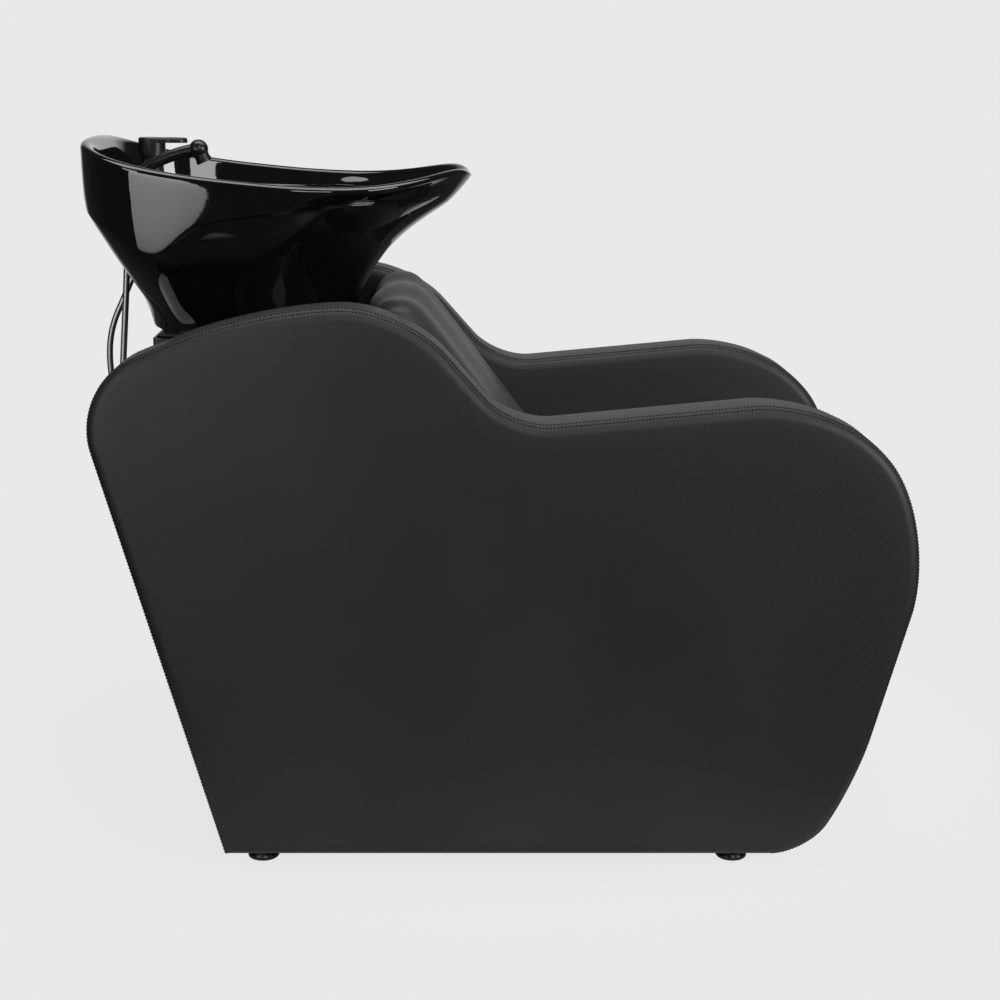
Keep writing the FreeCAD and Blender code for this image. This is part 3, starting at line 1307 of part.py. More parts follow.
hose_top = s.cone_bottom - s.holder_flange_height
upper_run = s.hose_joint_depth - hose_top
upper_points = [shower_place.multVec(Vector(x * upper_run, y * upper_run, -hose_top - z * upper_run))
                for x, y, z in HOSE_UPPER_SHARES]
publish(feature("hose_a", tube(upper_points, s.hose_radius - s.core_gap / 3)), "shower_hose_upper")
loop_points = [shower_place.Base + Vector(x, y, z) * s.hose_drop for x, y, z in HOSE_LOOP_SHARES]
loop_points = [shower_place.multVec(Vector(0, 0, -s.hose_joint_depth - s.moving_gap))] + loop_points
publish(feature("hose_b", tube(loop_points, s.hose_radius)), "shower_hose_loop")
nipple = Part.makeCylinder(s.nipple_radius, s.nipple_length, loop_points[-1],
                           loop_points[-1] - loop_points[-2])
publish(feature("nipple", nipple), "hose_nipple")

# Handle: a bent tube that ends in a round head with a nozzle that looks down.
axis_up = Vector(0, 0, 1)
base = Vector(0, 0, s.cone_top + s.moving_gap)


def heading(degrees):
    turn = math.radians(degrees)
    return Vector(math.sin(turn), 0, math.cos(turn))


def bend(start, begin, turn, radius):
    centre = start + Vector(math.cos(math.radians(begin)), 0, -math.sin(math.radians(begin))) * radius
    spots = []
    for share in (0.5, 1.0):
        angle = math.radians(begin + turn * share)
        spots.append(centre - Vector(math.cos(angle), 0, -math.sin(angle)) * radius)
    return spots


mid_one, end_one = bend(base, 0.0, s.handle_first_turn, s.handle_bend_radius)
run_end = end_one + heading(s.handle_first_turn) * s.handle_straight
mid_two, end_two = bend(run_end, s.handle_first_turn, s.handle_second_turn, s.handle_second_radius)
handle_path = Part.Wire([
    Part.Arc(base, mid_one, end_one).toShape(),
    Part.makeLine(end_one, run_end),
    Part.Arc(run_end, mid_two, end_two).toShape(),
])
head_way = heading(s.handle_first_turn + s.handle_second_turn)
grip_rings = [Part.Wire(Part.makeCircle(s.handle_foot_radius, base, axis_up)),
              Part.Wire(Part.makeCircle(s.handle_radius, end_two, head_way))]
grip = handle_path.makePipeShell(grip_rings, True, False)
head_at = end_two + head_way * (s.head_radius / 3)
handle = grip.fuse(Part.makeSphere(s.head_radius, head_at)).removeSplitter()
nozzle_way = Vector(math.sin(math.radians(s.nozzle_tilt)), 0, -math.cos(math.radians(s.nozzle_tilt)))
outlet = Part.makeCylinder(s.nozzle_radius, s.nozzle_length - s.nozzle_ring_height, head_at, nozzle_way)
handle = handle.fuse(outlet).removeSplitter()
publish(feature("grip_and_head", placed(handle)), "shower_handle")
ring_at = head_at + nozzle_way * (s.nozzle_length - s.nozzle_ring_height)
nozzle = Part.makeCylinder(s.nozzle_ring_radius, s.nozzle_ring_height, ring_at, nozzle_way)
spray_room = Part.makeCylinder(s.spray_radius, s.nozzle_ring_height, ring_at, nozzle_way)
publish(feature("outlet_ring", placed(nozzle.cut(spray_room))), "shower_nozzle")
spray = Part.makeCylinder(s.spray_radius - s.screw_gap, s.spray_thickness,
                          ring_at + nozzle_way * s.screw_gap, nozzle_way)
publish(feature("spray_disc", placed(spray)), "spray_plate")

doc.recompute()
for obj in doc.Objects:
    if "Invalid" in obj.State or "Error" in obj.State:
        raise RuntimeError("not built: " + obj.Label)
for obj in parts:
    if obj.Shape.isNull() or not obj.Shape.isValid() or obj.Shape.Volume <= 0:
        raise RuntimeError("bad shape: " + obj.Label)

os.makedirs("parts", exist_ok=True)
for obj in parts:
    obj.Shape.exportStep(os.path.join("parts", obj.Label + ".step"))
total = Part.makeCompound([obj.Shape for obj in parts]).BoundBox
print("pieces", len(parts), "box", [round(v, 2) for v in (
    total.XMin, total.XMax, total.YMin, total.YMax, total.ZMin, total.ZMax)])
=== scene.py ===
import json
import math

import bmesh
import bpy
import numpy as np
from mathutils import Matrix, Vector

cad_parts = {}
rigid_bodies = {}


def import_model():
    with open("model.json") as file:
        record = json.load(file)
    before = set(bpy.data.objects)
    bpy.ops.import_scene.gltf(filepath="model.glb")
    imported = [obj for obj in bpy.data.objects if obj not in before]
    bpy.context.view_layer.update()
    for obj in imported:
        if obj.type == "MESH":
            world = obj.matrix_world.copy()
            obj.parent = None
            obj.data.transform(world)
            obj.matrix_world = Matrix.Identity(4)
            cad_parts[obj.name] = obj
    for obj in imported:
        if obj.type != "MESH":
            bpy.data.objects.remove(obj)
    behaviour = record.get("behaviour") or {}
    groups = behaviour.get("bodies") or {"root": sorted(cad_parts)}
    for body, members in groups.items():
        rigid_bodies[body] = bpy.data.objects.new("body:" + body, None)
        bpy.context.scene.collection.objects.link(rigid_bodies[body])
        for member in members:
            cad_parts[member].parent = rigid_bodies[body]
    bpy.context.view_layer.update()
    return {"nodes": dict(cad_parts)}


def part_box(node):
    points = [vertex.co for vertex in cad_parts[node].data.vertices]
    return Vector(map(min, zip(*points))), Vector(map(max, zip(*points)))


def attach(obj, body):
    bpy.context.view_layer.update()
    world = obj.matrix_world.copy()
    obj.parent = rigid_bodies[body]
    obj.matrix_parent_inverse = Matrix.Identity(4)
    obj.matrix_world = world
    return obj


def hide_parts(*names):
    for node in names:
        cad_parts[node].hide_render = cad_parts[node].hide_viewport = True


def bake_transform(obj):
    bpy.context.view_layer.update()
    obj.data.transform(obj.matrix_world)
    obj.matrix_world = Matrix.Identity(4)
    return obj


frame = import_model()

# The whole unit as photographed: seen from the sitter's right and a little from above,
# with a long lens and a very small roll.
EYE = (-0.08171, -2.635, 1.03505)
EYE_RIGHT = (0.99931233, -0.03396813, 0.01486689)
EYE_UP = (-0.00693071, 0.22276771, 0.97484692)
EYE_BACK = (-0.03642559, -0.97427959, 0.2223791)
LENS_LENGTH, LENS_FILM = 66.6, 36.0
lens = bpy.data.cameras.new("studio_camera")
lens.lens, lens.sensor_width = LENS_LENGTH, LENS_FILM
eye = bpy.data.objects.new("studio_camera", lens)
bpy.context.collection.objects.link(eye)
turn = Matrix((EYE_RIGHT, EYE_UP, EYE_BACK)).transposed().to_4x4()
eye.matrix_world = Matrix.Translation(EYE) @ turn
bpy.context.scene.camera = eye
bpy.context.scene.view_settings.view_transform = "Standard"

# Carcass: birch plywood panel cores and boards, and sawn timber rails, glued and screwed together
# with steel brackets. All of it is left raw, because the upholstery hides it.
CARCASS_BOARDS = ("right_side_core", "left_side_core", "seat_board", "backrest_board", "base_board")
CARCASS_RAILS = ("front_seat_rail", "rear_seat_rail", "back_top_rail", "front_stretcher")


def tree_of(name):
    made = bpy.data.materials.new(name)
    made.use_nodes = True
    nodes = made.node_tree.nodes
    return made, nodes, made.node_tree.links, nodes["Principled BSDF"]


def noise(nodes, links, where, scale, detail, roughness=0.5):
    cloud = nodes.new("ShaderNodeTexNoise")
    for socket, value in (("Scale", scale), ("Detail", detail), ("Roughness", roughness)):
        cloud.inputs[socket].default_value = value
    links.new(where, cloud.inputs["Vector"])
    return cloud.outputs["Fac"]


def tinted(nodes, links, shader, share, dark, light, ends):
    """Base colour that goes from dark to light between two values of share."""
    tint = nodes.new("ShaderNodeValToRGB")
    for stop, position, colour in zip(tint.color_ramp.elements, ends, (dark, light)):
        stop.position = position
        stop.color = (*colour, 1)
    links.new(share, tint.inputs["Fac"])
    links.new(tint.outputs["Color"], shader.inputs["Base Color"])


def carried(nodes, links, value, start, finish):
    """A node that carries a value from one range to another, and holds it at the ends."""
    span = nodes.new("ShaderNodeMapRange")
    for socket, end in zip(("From Min", "From Max", "To Min", "To Max"), (*start, *finish)):
        span.inputs[socket].default_value = end
    links.new(value, span.inputs["Value"])
    return span


def rubbed(nodes, links, shader, share, roughness, spread):
    rub = carried(nodes, links, share, (0.0, 1.0), (roughness - spread, roughness + spread))
    links.new(rub.outputs["Result"], shader.inputs["Roughness"])


def embossed(nodes, links, shader, height, strength, depth):
    relief = nodes.new("ShaderNodeBump")
    relief.inputs["Strength"].default_value = strength
    relief.inputs["Distance"].default_value = depth
    links.new(height, relief.inputs["Height"])
    links.new(relief.outputs["Normal"], shader.inputs["Normal"])


def mottled(name, dark, light, patch, roughness, spread, relief_depth, metallic=0.0, fine=40.0):
    """A finish whose colour and gloss drift over patches, with a fine relief."""
    made, nodes, links, shader = tree_of(name)
    place = nodes.new("ShaderNodeTexCoord")
    stretch = nodes.new("ShaderNodeMapping")
    stretch.inputs["Scale"].default_value = patch
    links.new(place.outputs["Object"], stretch.inputs["Vector"])
    cloud = noise(nodes, links, stretch.outputs["Vector"], 1.0, 7.0, 0.6)
    tinted(nodes, links, shader, cloud, dark, light, (0.32, 0.68))
    rubbed(nodes, links, shader, cloud, roughness, spread)
    grit = noise(nodes, links, stretch.outputs["Vector"], fine, 4.0)
    embossed(nodes, links, shader, grit, 0.3, relief_depth)
    shader.inputs["Metallic"].default_value = metallic
    return made


def dress(material, *names):
    for name in names:
        mesh = frame["nodes"][name].data
        mesh.materials.clear()
        mesh.materials.append(material)


birch = mottled("raw_birch_plywood", (0.42, 0.29, 0.16), (0.66, 0.50, 0.32), (4.0, 70.0, 70.0), 0.62, 0.08,
                0.0004, fine=3.0)
pine = mottled("sawn_pine_rail", (0.50, 0.34, 0.17), (0.72, 0.55, 0.34), (90.0, 3.0, 60.0), 0.68, 0.08,
               0.0005, fine=3.0)
zinc = mottled("zinc_plated_steel", (0.42, 0.43, 0.45), (0.62, 0.62, 0.60), (220.0, 220.0, 220.0), 0.34, 0.08,
               0.0001, metallic=1.0, fine=8.0)
dress(birch, *CARCASS_BOARDS)
dress(pine, *CARCASS_RAILS)
dress(zinc, "corner_brackets", "panel_screws", "rail_screws", "insert_nuts", "glide_studs")

# Glides: round black plastic feet that screw into the panels' lower edges, with a hard polished
# sole that slides on the floor.
glide_black = mottled("black_glide_plastic", (0.008, 0.008, 0.008), (0.016, 0.016, 0.016), (60.0, 60.0, 60.0),
                      0.24, 0.06, 0.0002, fine=20.0)
dress(glide_black, "glides")

# Side panels: a plywood core wrapped in foam and charcoal vinyl. Each face is sewn to the band
# that runs round the edge, with a raised seam between two rows of black topstitching.
PANEL_LENGTH, PANEL_HEIGHT = 1.1191, 0.7361
PANEL_CORNERS = ((0.1669, 0.0, 0.0), (0.0, 0.8608, 0.361), (0.2098, 0.9947, 0.565), (0.3779, 1.0, 0.42),
                 (0.5026, 0.7912, 0.26), (0.8271, 0.8416, 0.45), (0.9312, 0.7703, 0.39),
                 (1.0, 0.5874, 0.645), (0.9227, 0.1387, 0.55), (0.8677, 0.0, 0.42))
RUN_LEFT, CORNER_CUTS = 0.99, 26
PANEL_EDGE, EDGE_CUTS, EDGE_SHARP = 0.017, 9, math.radians(40)
SEAM_IN, SEAM_FOOT, RIDGE_FOOT = 0.0092, 0.004, 0.02
SEAM_RIDGE = ((-0.0046, 0.0), (-0.0030, -0.0005), (-0.0018, 0.0), (-0.0007, 0.0004),
              (0.0007, 0.0004), (0.0018, 0.0), (0.0030, -0.0005), (0.0046, 0.0))
STITCH_PITCH = 0.0047
STITCH_SIZE = (0.0018, 0.0011, 0.0009)
STITCH_ROWS = (-0.0030, 0.0030)
FACE_CROWN = ((0.010, 0.0007), (0.012, 0.0005))


def summed(nodes, links, operation, first, second):
    both = nodes.new("ShaderNodeMath")
    both.operation = operation
    links.new(first, both.inputs[0])
    links.new(second, both.inputs[1])
    return both.outputs["Value"]


def vinyl(name, dark, light, roughness, grain, grain_depth, sheen):
    """Coated cloth with a pebbled grain, a slow drift of colour and gloss, and a little sheen."""
    made, nodes, links, shader = tree_of(name)
    place = nodes.new("ShaderNodeTexCoord").outputs["Object"]
    pebble = nodes.new("ShaderNodeTexVoronoi")
    pebble.inputs["Scale"].default_value = grain
    pebble.inputs["Randomness"].default_value = 1.0
    links.new(place, pebble.inputs["Vector"])
    cloud = noise(nodes, links, place, 5.0, 6.0)
    tinted(nodes, links, shader, cloud, dark, light, (0.3, 0.7))
    rubbed(nodes, links, shader, cloud, roughness, 0.05)
    fine = noise(nodes, links, place, grain * 1.7, 3.0)
    embossed(nodes, links, shader, summed(nodes, links, "ADD", pebble.outputs["Distance"], fine), 0.35, grain_depth)
    shader.inputs["Specular IOR Level"].default_value = 0.42
    shader.inputs["Sheen Weight"].default_value = sheen
    shader.inputs["Sheen Roughness"].default_value = 0.45
    return made


def piece(name, bm, material, body):
    """A new smooth-shaded object from a bmesh, dressed and set on its body."""
    mesh = bpy.data.meshes.new(name)
    bm.to_mesh(mesh)
    bm.free()
    for face in mesh.polygons:
        face.use_smooth = True
    made = bpy.data.objects.new(name, mesh)
    bpy.context.collection.objects.link(made)
    mesh.materials.append(material)
    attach(made, body)
    return made


panel_vinyl = vinyl("charcoal_panel_vinyl", (0.021, 0.0215, 0.022), (0.028, 0.0285, 0.029), 0.5, 620.0,
                    0.0004, 0.05)
thread = vinyl("black_topstitch_thread", (0.003, 0.003, 0.003), (0.006, 0.006, 0.006), 0.8, 1500.0,
               0.0002, 0.0)


def panel_outline(node):
    """A flat face with the panel's outline, at y 0, set where the CAD panel is."""
    bm = bmesh.new()
    corners = [bm.verts.new((x * PANEL_LENGTH, 0, z * PANEL_HEIGHT)) for x, z, _ in PANEL_CORNERS]
    bm.faces.new(corners)
    count = len(corners)
    spans = [(corners[(i + 1) % count].co - corners[i].co).length for i in range(count)]
    takes = [PANEL_CORNERS[i][2] * min(spans[i - 1], spans[i]) for i in range(count)]
    for i in range(count):
        room = min(1.0, RUN_LEFT * spans[i] / max(takes[i] + takes[(i + 1) % count], 1e-6))
        takes[i] *= room
        takes[(i + 1) % count] *= room
    for corner, take in zip(corners, takes):
        if take:
            bmesh.ops.bevel(bm, geom=[corner], offset=take, offset_type="OFFSET", segments=CORNER_CUTS,
                            profile=0.5, affect="VERTICES", material=-1)
    low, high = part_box(node)
    shift = Vector((high[0] - max(v.co.x for v in bm.verts), 0, low[2] - min(v.co.z for v in bm.verts)))
    bmesh.ops.translate(bm, verts=bm.verts, vec=shift)
    return bm, low, high


def seam_path(bm, floor_z):
    """Points of the outline in order, without the run along the bottom."""
    bm.faces.ensure_lookup_table()
    spots = [v.co.copy() for v in bm.faces[0].verts]
    start = max(range(len(spots)), key=lambda i: spots[i].z < floor_z and spots[i - 1].z < floor_z)
    spots = spots[start:] + spots[:start]
    if spots[1].z < floor_z:
        spots = spots[1:]
    return spots


def cover(name, node):
    """One panel's cover: its outline made thick, rounded, crowned and seamed, with its stitches."""
    bm, low, high = panel_outline(node)
    path = seam_path(bm, low[2] + SEAM_FOOT)
    bmesh.ops.translate(bm, verts=bm.verts, vec=(0, low[1], 0))
    grown = bmesh.ops.extrude_face_region(bm, geom=bm.faces[:], use_keep_orig=True)
    moved = [v for v in grown["geom"] if isinstance(v, bmesh.types.BMVert)]
    bmesh.ops.translate(bm, verts=moved, vec=(0, high[1] - low[1], 0))
    bmesh.ops.recalc_face_normals(bm, faces=bm.faces)
    edges = [e for e in bm.edges if abs(e.verts[0].co.y - e.verts[1].co.y) < 1e-6]
    bmesh.ops.bevel(bm, geom=edges, offset=PANEL_EDGE, offset_type="OFFSET", segments=EDGE_CUTS, profile=0.5,
                    affect="EDGES", material=-1)
    for side in (low[1], high[1]):
        flat = [max((f for f in bm.faces if abs(f.calc_center_median().y - side) < 1e-5),
                    key=lambda f: f.calc_area())]
        for width, rise in FACE_CROWN:
            bmesh.ops.inset_region(bm, faces=flat, thickness=width, use_even_offset=True)
            out = math.copysign(rise, side - (low[1] + high[1]) / 2)
            bmesh.ops.translate(bm, verts=flat[0].verts[:], vec=(0, out, 0))
    for seam in (low[1] + SEAM_IN, high[1] - SEAM_IN):
        for step, rise in SEAM_RIDGE:
            cut = bmesh.ops.bisect_plane(bm, geom=bm.verts[:] + bm.edges[:] + bm.faces[:], dist=1e-6,
                                         plane_co=(0, seam + step, 0), plane_no=(0, 1, 0))
            bm.normal_update()
            ring = [v for v in cut["geom_cut"] if isinstance(v, bmesh.types.BMVert)]
            for v in ring:
                if v.co.z > low[2] + RIDGE_FOOT:
                    v.co += v.normal * rise
    made = piece(name, bm, panel_vinyl, "base")
    made.data.set_sharp_from_angle(angle=EDGE_SHARP)
    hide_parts(node)
    rows = bmesh.new()
    for seam in (low[1] + SEAM_IN, high[1] - SEAM_IN):
        for step in STITCH_ROWS:
            over = max(0.0, PANEL_EDGE - min(seam + step - low[1], high[1] - seam - step))
            sew(rows, path, seam + step, PANEL_EDGE - math.sqrt(PANEL_EDGE ** 2 - over ** 2))
    piece(name + "_stitching", rows, thread, "base")


def sew(bm, path, y, sunk):
    """Small stitches along the outline, each a flattened bead that lies in the surface of the round edge."""
    walked = STITCH_PITCH / 2
    gone = 0.0
    few = bmesh.new()
    for a, b in zip(path, path[1:]):
        run = (b - a).length
        way = (b - a).normalized()
        out = Vector((-way.z, 0, way.x))
        side = way.cross(out)
        while walked < gone + run:
            spot = a + way * (walked - gone) - out * sunk + Vector((0, y, 0))
            size = Matrix.Diagonal((*STITCH_SIZE, 1))
            place = Matrix((way, side, out)).transposed().to_4x4()
            bmesh.ops.create_icosphere(few, subdivisions=1, radius=1.0,
                                       matrix=Matrix.Translation(spot) @ place @ size)
            walked += STITCH_PITCH
        gone += run
        sewn = bpy.data.meshes.new("sewn")
        few.to_mesh(sewn)
        bm.from_mesh(sewn)
        bpy.data.meshes.remove(sewn)
        few.clear()
    few.free()


cover("right_panel_cover", "right_side_cover")
cover("left_panel_cover", "left_side_cover")

# Seat and backrest: foam blocks on plywood, each in a sewn vinyl cover that is drawn down over the
# board. The foam fills the cover, so the faces crown and the edges round over.
PAD_VOXEL, PAD_DRAW_IN = 0.006, 0.004
PAD_PRESSURE, PAD_STEPS = 4.0, 20
PAD_EVENING, PAD_SOFTENING = 150, 4
PAD_SIDE, PAD_OFF_BOARD = 0.2343, 0.0003
SEAT_SWELL, BACK_SWELL = 0.014, 0.010
BACK_LEAN = math.radians(37.4)
seat_vinyl = vinyl("charcoal_seat_vinyl", (0.030, 0.0305, 0.031), (0.042, 0.0425, 0.043), 0.46, 560.0,
                   0.0004, 0.08)


def settled(made):
    """The object's mesh as its modifiers leave it, which are then taken off."""
    graph = bpy.context.evaluated_depsgraph_get()
    mesh = bpy.data.meshes.new_from_object(made.evaluated_get(graph))
    made.modifiers.clear()
    made.data = mesh
    return mesh


def points_of(mesh, what):
    """Places or normals of all points of a mesh, one row each."""
    rows = np.empty(3 * len(mesh.vertices))
    mesh.vertices.foreach_get(what, rows)
    return rows.reshape(-1, 3)


def evened(mesh, move):
    """Spreads the swelling over the cover, which the foam under it does, so that no wrinkles stay."""
    ends = np.empty(2 * len(mesh.edges), dtype=int)
    mesh.edges.foreach_get("vertices", ends)
    ends = ends.reshape(-1, 2)
    there, here = np.concatenate([ends[:, 0], ends[:, 1]]), np.concatenate([ends[:, 1], ends[:, 0]])
    count = np.bincount(here, minlength=len(move))[:, None]
    for _ in range(PAD_EVENING):
        near = np.stack([np.bincount(here, weights=move[there, i], minlength=len(move)) for i in range(3)], axis=1)
        move = (move + near / count) / 2
    return move


def pad(name, node, cap, out, board):
    """A stuffed cover over a board: out points away from the board, which is at height board along it."""
    bm = bmesh.new()
    bm.from_mesh(frame["nodes"][node].data)
    bmesh.ops.remove_doubles(bm, verts=bm.verts, dist=1e-5)
    mesh = bpy.data.meshes.new(name)
    bm.to_mesh(mesh)
    bm.free()
    made = bpy.data.objects.new(name, mesh)
    bpy.context.collection.objects.link(made)
    even = made.modifiers.new("even_mesh", "REMESH")
    even.mode = "VOXEL"
    even.voxel_size = PAD_VOXEL
    mesh = settled(made)
    held = made.vertex_groups.new(name="held_by_board")
    start = points_of(mesh, "co")
    on_board = start @ np.array(out) < board + PAD_VOXEL
    start -= np.where(on_board[:, None], 0.0, PAD_DRAW_IN) * points_of(mesh, "normal")
    held.add(np.flatnonzero(on_board).tolist(), 1.0, "REPLACE")
    mesh.vertices.foreach_set("co", start.ravel())
    mesh.update()
    stuffing = made.modifiers.new("stuffing", "CLOTH")
    stuffing.settings.use_pressure = True
    stuffing.settings.uniform_pressure_force = PAD_PRESSURE
    stuffing.settings.effector_weights.gravity = 0.0
    stuffing.settings.vertex_group_mass = held.name
    for step in range(1, PAD_STEPS + 1):
        bpy.context.scene.frame_set(step)
    mesh = settled(made)
    bpy.context.scene.frame_set(1)
    move = points_of(mesh, "co") - start
    far = np.linalg.norm(move, axis=1, keepdims=True)
    move = evened(mesh, move * np.minimum(1.0, cap / np.maximum(far, 1e-9)))
    mesh.vertices.foreach_set("co", (start + move).ravel())
    bm = bmesh.new()
    bm.from_mesh(mesh)
    for _ in range(PAD_SOFTENING):
        bmesh.ops.smooth_vert(bm, verts=bm.verts, factor=0.5, use_axis_x=True, use_axis_y=True, use_axis_z=True)
    for v in bm.verts:
        v.co.y = max(-PAD_SIDE, min(PAD_SIDE, v.co.y))
        v.co += out * max(0.0, board + PAD_OFF_BOARD - out.dot(v.co))
    bm.to_mesh(mesh)
    bm.free()
    made.vertex_groups.clear()
    for face in mesh.polygons:
        face.use_smooth = True
    mesh.materials.clear()
    mesh.materials.append(seat_vinyl)
    fine = made.modifiers.new("fine_mesh", "SUBSURF")
    fine.levels = fine.render_levels = 1
    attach(made, "base")
    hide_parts(node)


seat_up = Vector((0, 0, 1))
pad("seat_pad", "seat_cushion", SEAT_SWELL, seat_up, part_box("seat_cushion")[0].z)
back_out = Vector((math.cos(BACK_LEAN), 0, math.sin(BACK_LEAN)))
back_board = min(back_out.dot(v.co) for v in frame["nodes"]["backrest_cushion"].data.vertices)
pad("backrest_pad", "backrest_cushion", BACK_SWELL, back_out, back_board)

# Front apron: a thin board padded and wrapped in the panels' vinyl, stapled behind. It closes the gap
# under the seat between the panels.
APRON_EDGE, APRON_EDGE_CUTS = 0.006, 5
APRON_CROWN = ((0.012, 0.0012), (0.025, 0.0012), (0.04, 0.0008))
apron_vinyl = vinyl("charcoal_apron_vinyl", (0.021, 0.0215, 0.022), (0.028, 0.0285, 0.029), 0.5, 620.0,
                    0.0004, 0.05)
low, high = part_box("front_apron")
bm = bmesh.new()
bmesh.ops.create_cube(bm, size=1.0, matrix=Matrix.Translation((low + high) / 2) @ Matrix.Diagonal(
    (*(high - low), 1)))
bmesh.ops.bevel(bm, geom=bm.edges[:], offset=APRON_EDGE, offset_type="OFFSET", segments=APRON_EDGE_CUTS,
                profile=0.5, affect="EDGES", material=-1)
apron_face = [max((f for f in bm.faces if f.normal.x > 0.9), key=lambda f: f.calc_area())]
for width, rise in APRON_CROWN:
    bmesh.ops.inset_region(bm, faces=apron_face, thickness=width, use_even_offset=True)
    bmesh.ops.translate(bm, verts=apron_face[0].verts[:], vec=(rise, 0, 0))
apron_cover = piece("apron_cover", bm, apron_vinyl, "base")
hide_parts("front_apron")

# Bowl carrier: a folded steel beam across the panels carries the tilt base; the cradle hinges on it
# by two bolts through friction washers, and a rubber bumper stops it. Black powder coat.
powder = mottled("black_powder_coat", (0.010, 0.010, 0.010), (0.018, 0.018, 0.018), (30.0, 30.0, 30.0), 0.48, 0.06,
                 0.0003, fine=28.0)
rubber = mottled("black_rubber", (0.010, 0.010, 0.010), (0.019, 0.019, 0.018), (45.0, 45.0, 45.0), 0.78, 0.08,
                 0.0004, fine=16.0)
nylon = mottled("natural_nylon", (0.70, 0.68, 0.62), (0.82, 0.80, 0.75), (50.0, 50.0, 50.0), 0.42, 0.06, 0.0002)
dress(powder, "bowl_beam", "tilt_base", "cradle")
dress(zinc, "tilt_base_bolts", "pivot_bolts", "pivot_nuts", "cradle_screws")
dress(rubber, "tilt_bumper", "bowl_pad")
dress(nylon, "friction_washers", "pivot_bushes")

# Shroud: one black plastic moulding pushed over the tilt base, which hides the mechanism. Upright
# grooves run down its sides.
shroud_black = mottled("black_shroud_moulding", (0.010, 0.010, 0.010), (0.017, 0.017, 0.017), (24.0, 24.0, 24.0),
                       0.36, 0.05, 0.0003, fine=60.0)
dress(shroud_black, "tilt_shroud")

# Bowl: slip-cast vitreous china, glazed jet black all over. A raised band runs below the rim and
# ends in a crease that curls down behind; the deck at the rear carries the tap and the hand shower.
BOWL_REAR, BOWL_FRONT, BOWL_CENTRE, BOWL_HALF = -0.5565, -0.0290, -0.2775, 0.245
BOWL_BASE, BOWL_RIM = 0.687, 0.895
RIM_LOW, RIM_REAR_RISE, RIM_FRONT_RISE = -0.202, 0.057, 0.029
NECK_DIP, NECK_SPREAD, REAR_CORNER = 0.016, 0.070, 0.3
RIM_WALL, RIM_ROLL = 0.017, 0.008
DRAIN_X, DRAIN_SEAT, DRAIN_FLOOR = -0.3125, 0.036, 0.716
TURN_STEPS = 64
BOWL_OUTSIDE = ((0.703, 0.298, 0.59, 0.0), (0.708, 0.312, 0.607, 0.045), (0.718, 0.335, 0.637, 0.11),
                (0.742, 0.37, 0.70, 0.23), (0.778, 0.425, 0.78, 0.36, 0.05), (0.828, 0.495, 0.857, 0.49, 0.15),
                (0.878, 0.58, 0.913, 0.60, 0.35), (0.925, 0.68, 0.949, 0.70, 0.6), (0.964, 0.765, 0.966, 0.77, 0.85),
                (0.988, 0.825, 0.976, 0.817, 1.0), (0.990, 0.835, 0.9776, 0.825), (0.993, 0.85, 0.981, 0.838),
                (1.0, 0.885, 0.9865, 0.868))
BOWL_INSIDE = ((0.928, 0.891, 0.918, 0.925), (0.915, 0.872, 0.912, 0.905), (0.875, 0.855, 0.907, 0.893),
               (0.78, 0.848, 0.905, 0.890), (0.66, 0.84, 0.902, 0.888), (0.615, 0.812, 0.893, 0.865),
               (0.595, 0.69, 0.868, 0.78), (0.575, 0.57, 0.83, 0.68), (0.548, 0.45, 0.765, 0.55),
               (0.51, 0.355, 0.67, 0.42), (0.465, 0.27, 0.555, 0.31), (0.40, 0.20, 0.43, 0.22),
               (0.335, 0.125, 0.30, 0.165))
RIM_TURNS = (0.0, 0.125, 0.25, 0.375, 0.5, 0.625, 0.75, 0.875, 1.0)
CREASE = ((-0.5565, 0.862), (-0.505, 0.834), (-0.455, 0.808), (-0.4245, 0.806), (-0.4145, 0.823), (-0.3945, 0.844),
          (-0.3625, 0.855), (-0.3175, 0.858), (-0.2795, 0.861), (-0.2285, 0.873), (-0.1705, 0.878),
          (-0.1265, 0.888), (-0.0755, 0.900), (-0.029, 0.906))
CREASE_ROW, CREASE_DEPTH, CREASE_UNDER_RIM = 0.825, 0.0058, 0.020
CREASE_BEGINS, CREASE_ENDS, CREASE_BLUR = (-0.440, -0.400), (-0.19, -0.08), 0.005
RIM_SQUARE, FOOT_SQUARE, SQUARE_GAIN = (4.0, 2.05), (2.6, 1.7), (1.4, 0.35)
POCKET = ((0.0, 1.0), (1.0, 1.0), (0.93, 0.70), (0.68, 0.57), (0.62, 0.40), (0.0, 0.0))
POCKET_REAR, POCKET_REACH, POCKET_HALF, POCKET_LOW = -0.543, 0.082, 0.125, 0.700
DECK_TOP, DECK_UNDER, DECK_BOSS = 0.876, 0.862, 0.021
DECK_HOLES = ((-0.482, 0.045, 0.014), (-0.4998, -0.060, 0.0145))
DRAIN_HOLE, DRAIN_RECESS, RECESS_DEEP, CUT_PAST = 0.024, 0.058, 0.012, 0.01
BOWL_SHARP, GLAZE_IOR = math.radians(48), 1.7


def rim_height(x, y):
    """Height of the rim: lowest at mid-length, up at the rear, and dipped at the neck rest in front."""
    if x < RIM_LOW:
        corner = 1 - REAR_CORNER * (y / BOWL_HALF) ** 2
        return BOWL_RIM + RIM_REAR_RISE * corner * ((RIM_LOW - x) / (RIM_LOW - BOWL_REAR)) ** 1.9
    dip = math.exp(-(y / NECK_SPREAD) ** 2)
    return BOWL_RIM + (RIM_FRONT_RISE - NECK_DIP * dip) * ((x - RIM_LOW) / (BOWL_FRONT - RIM_LOW)) ** 2


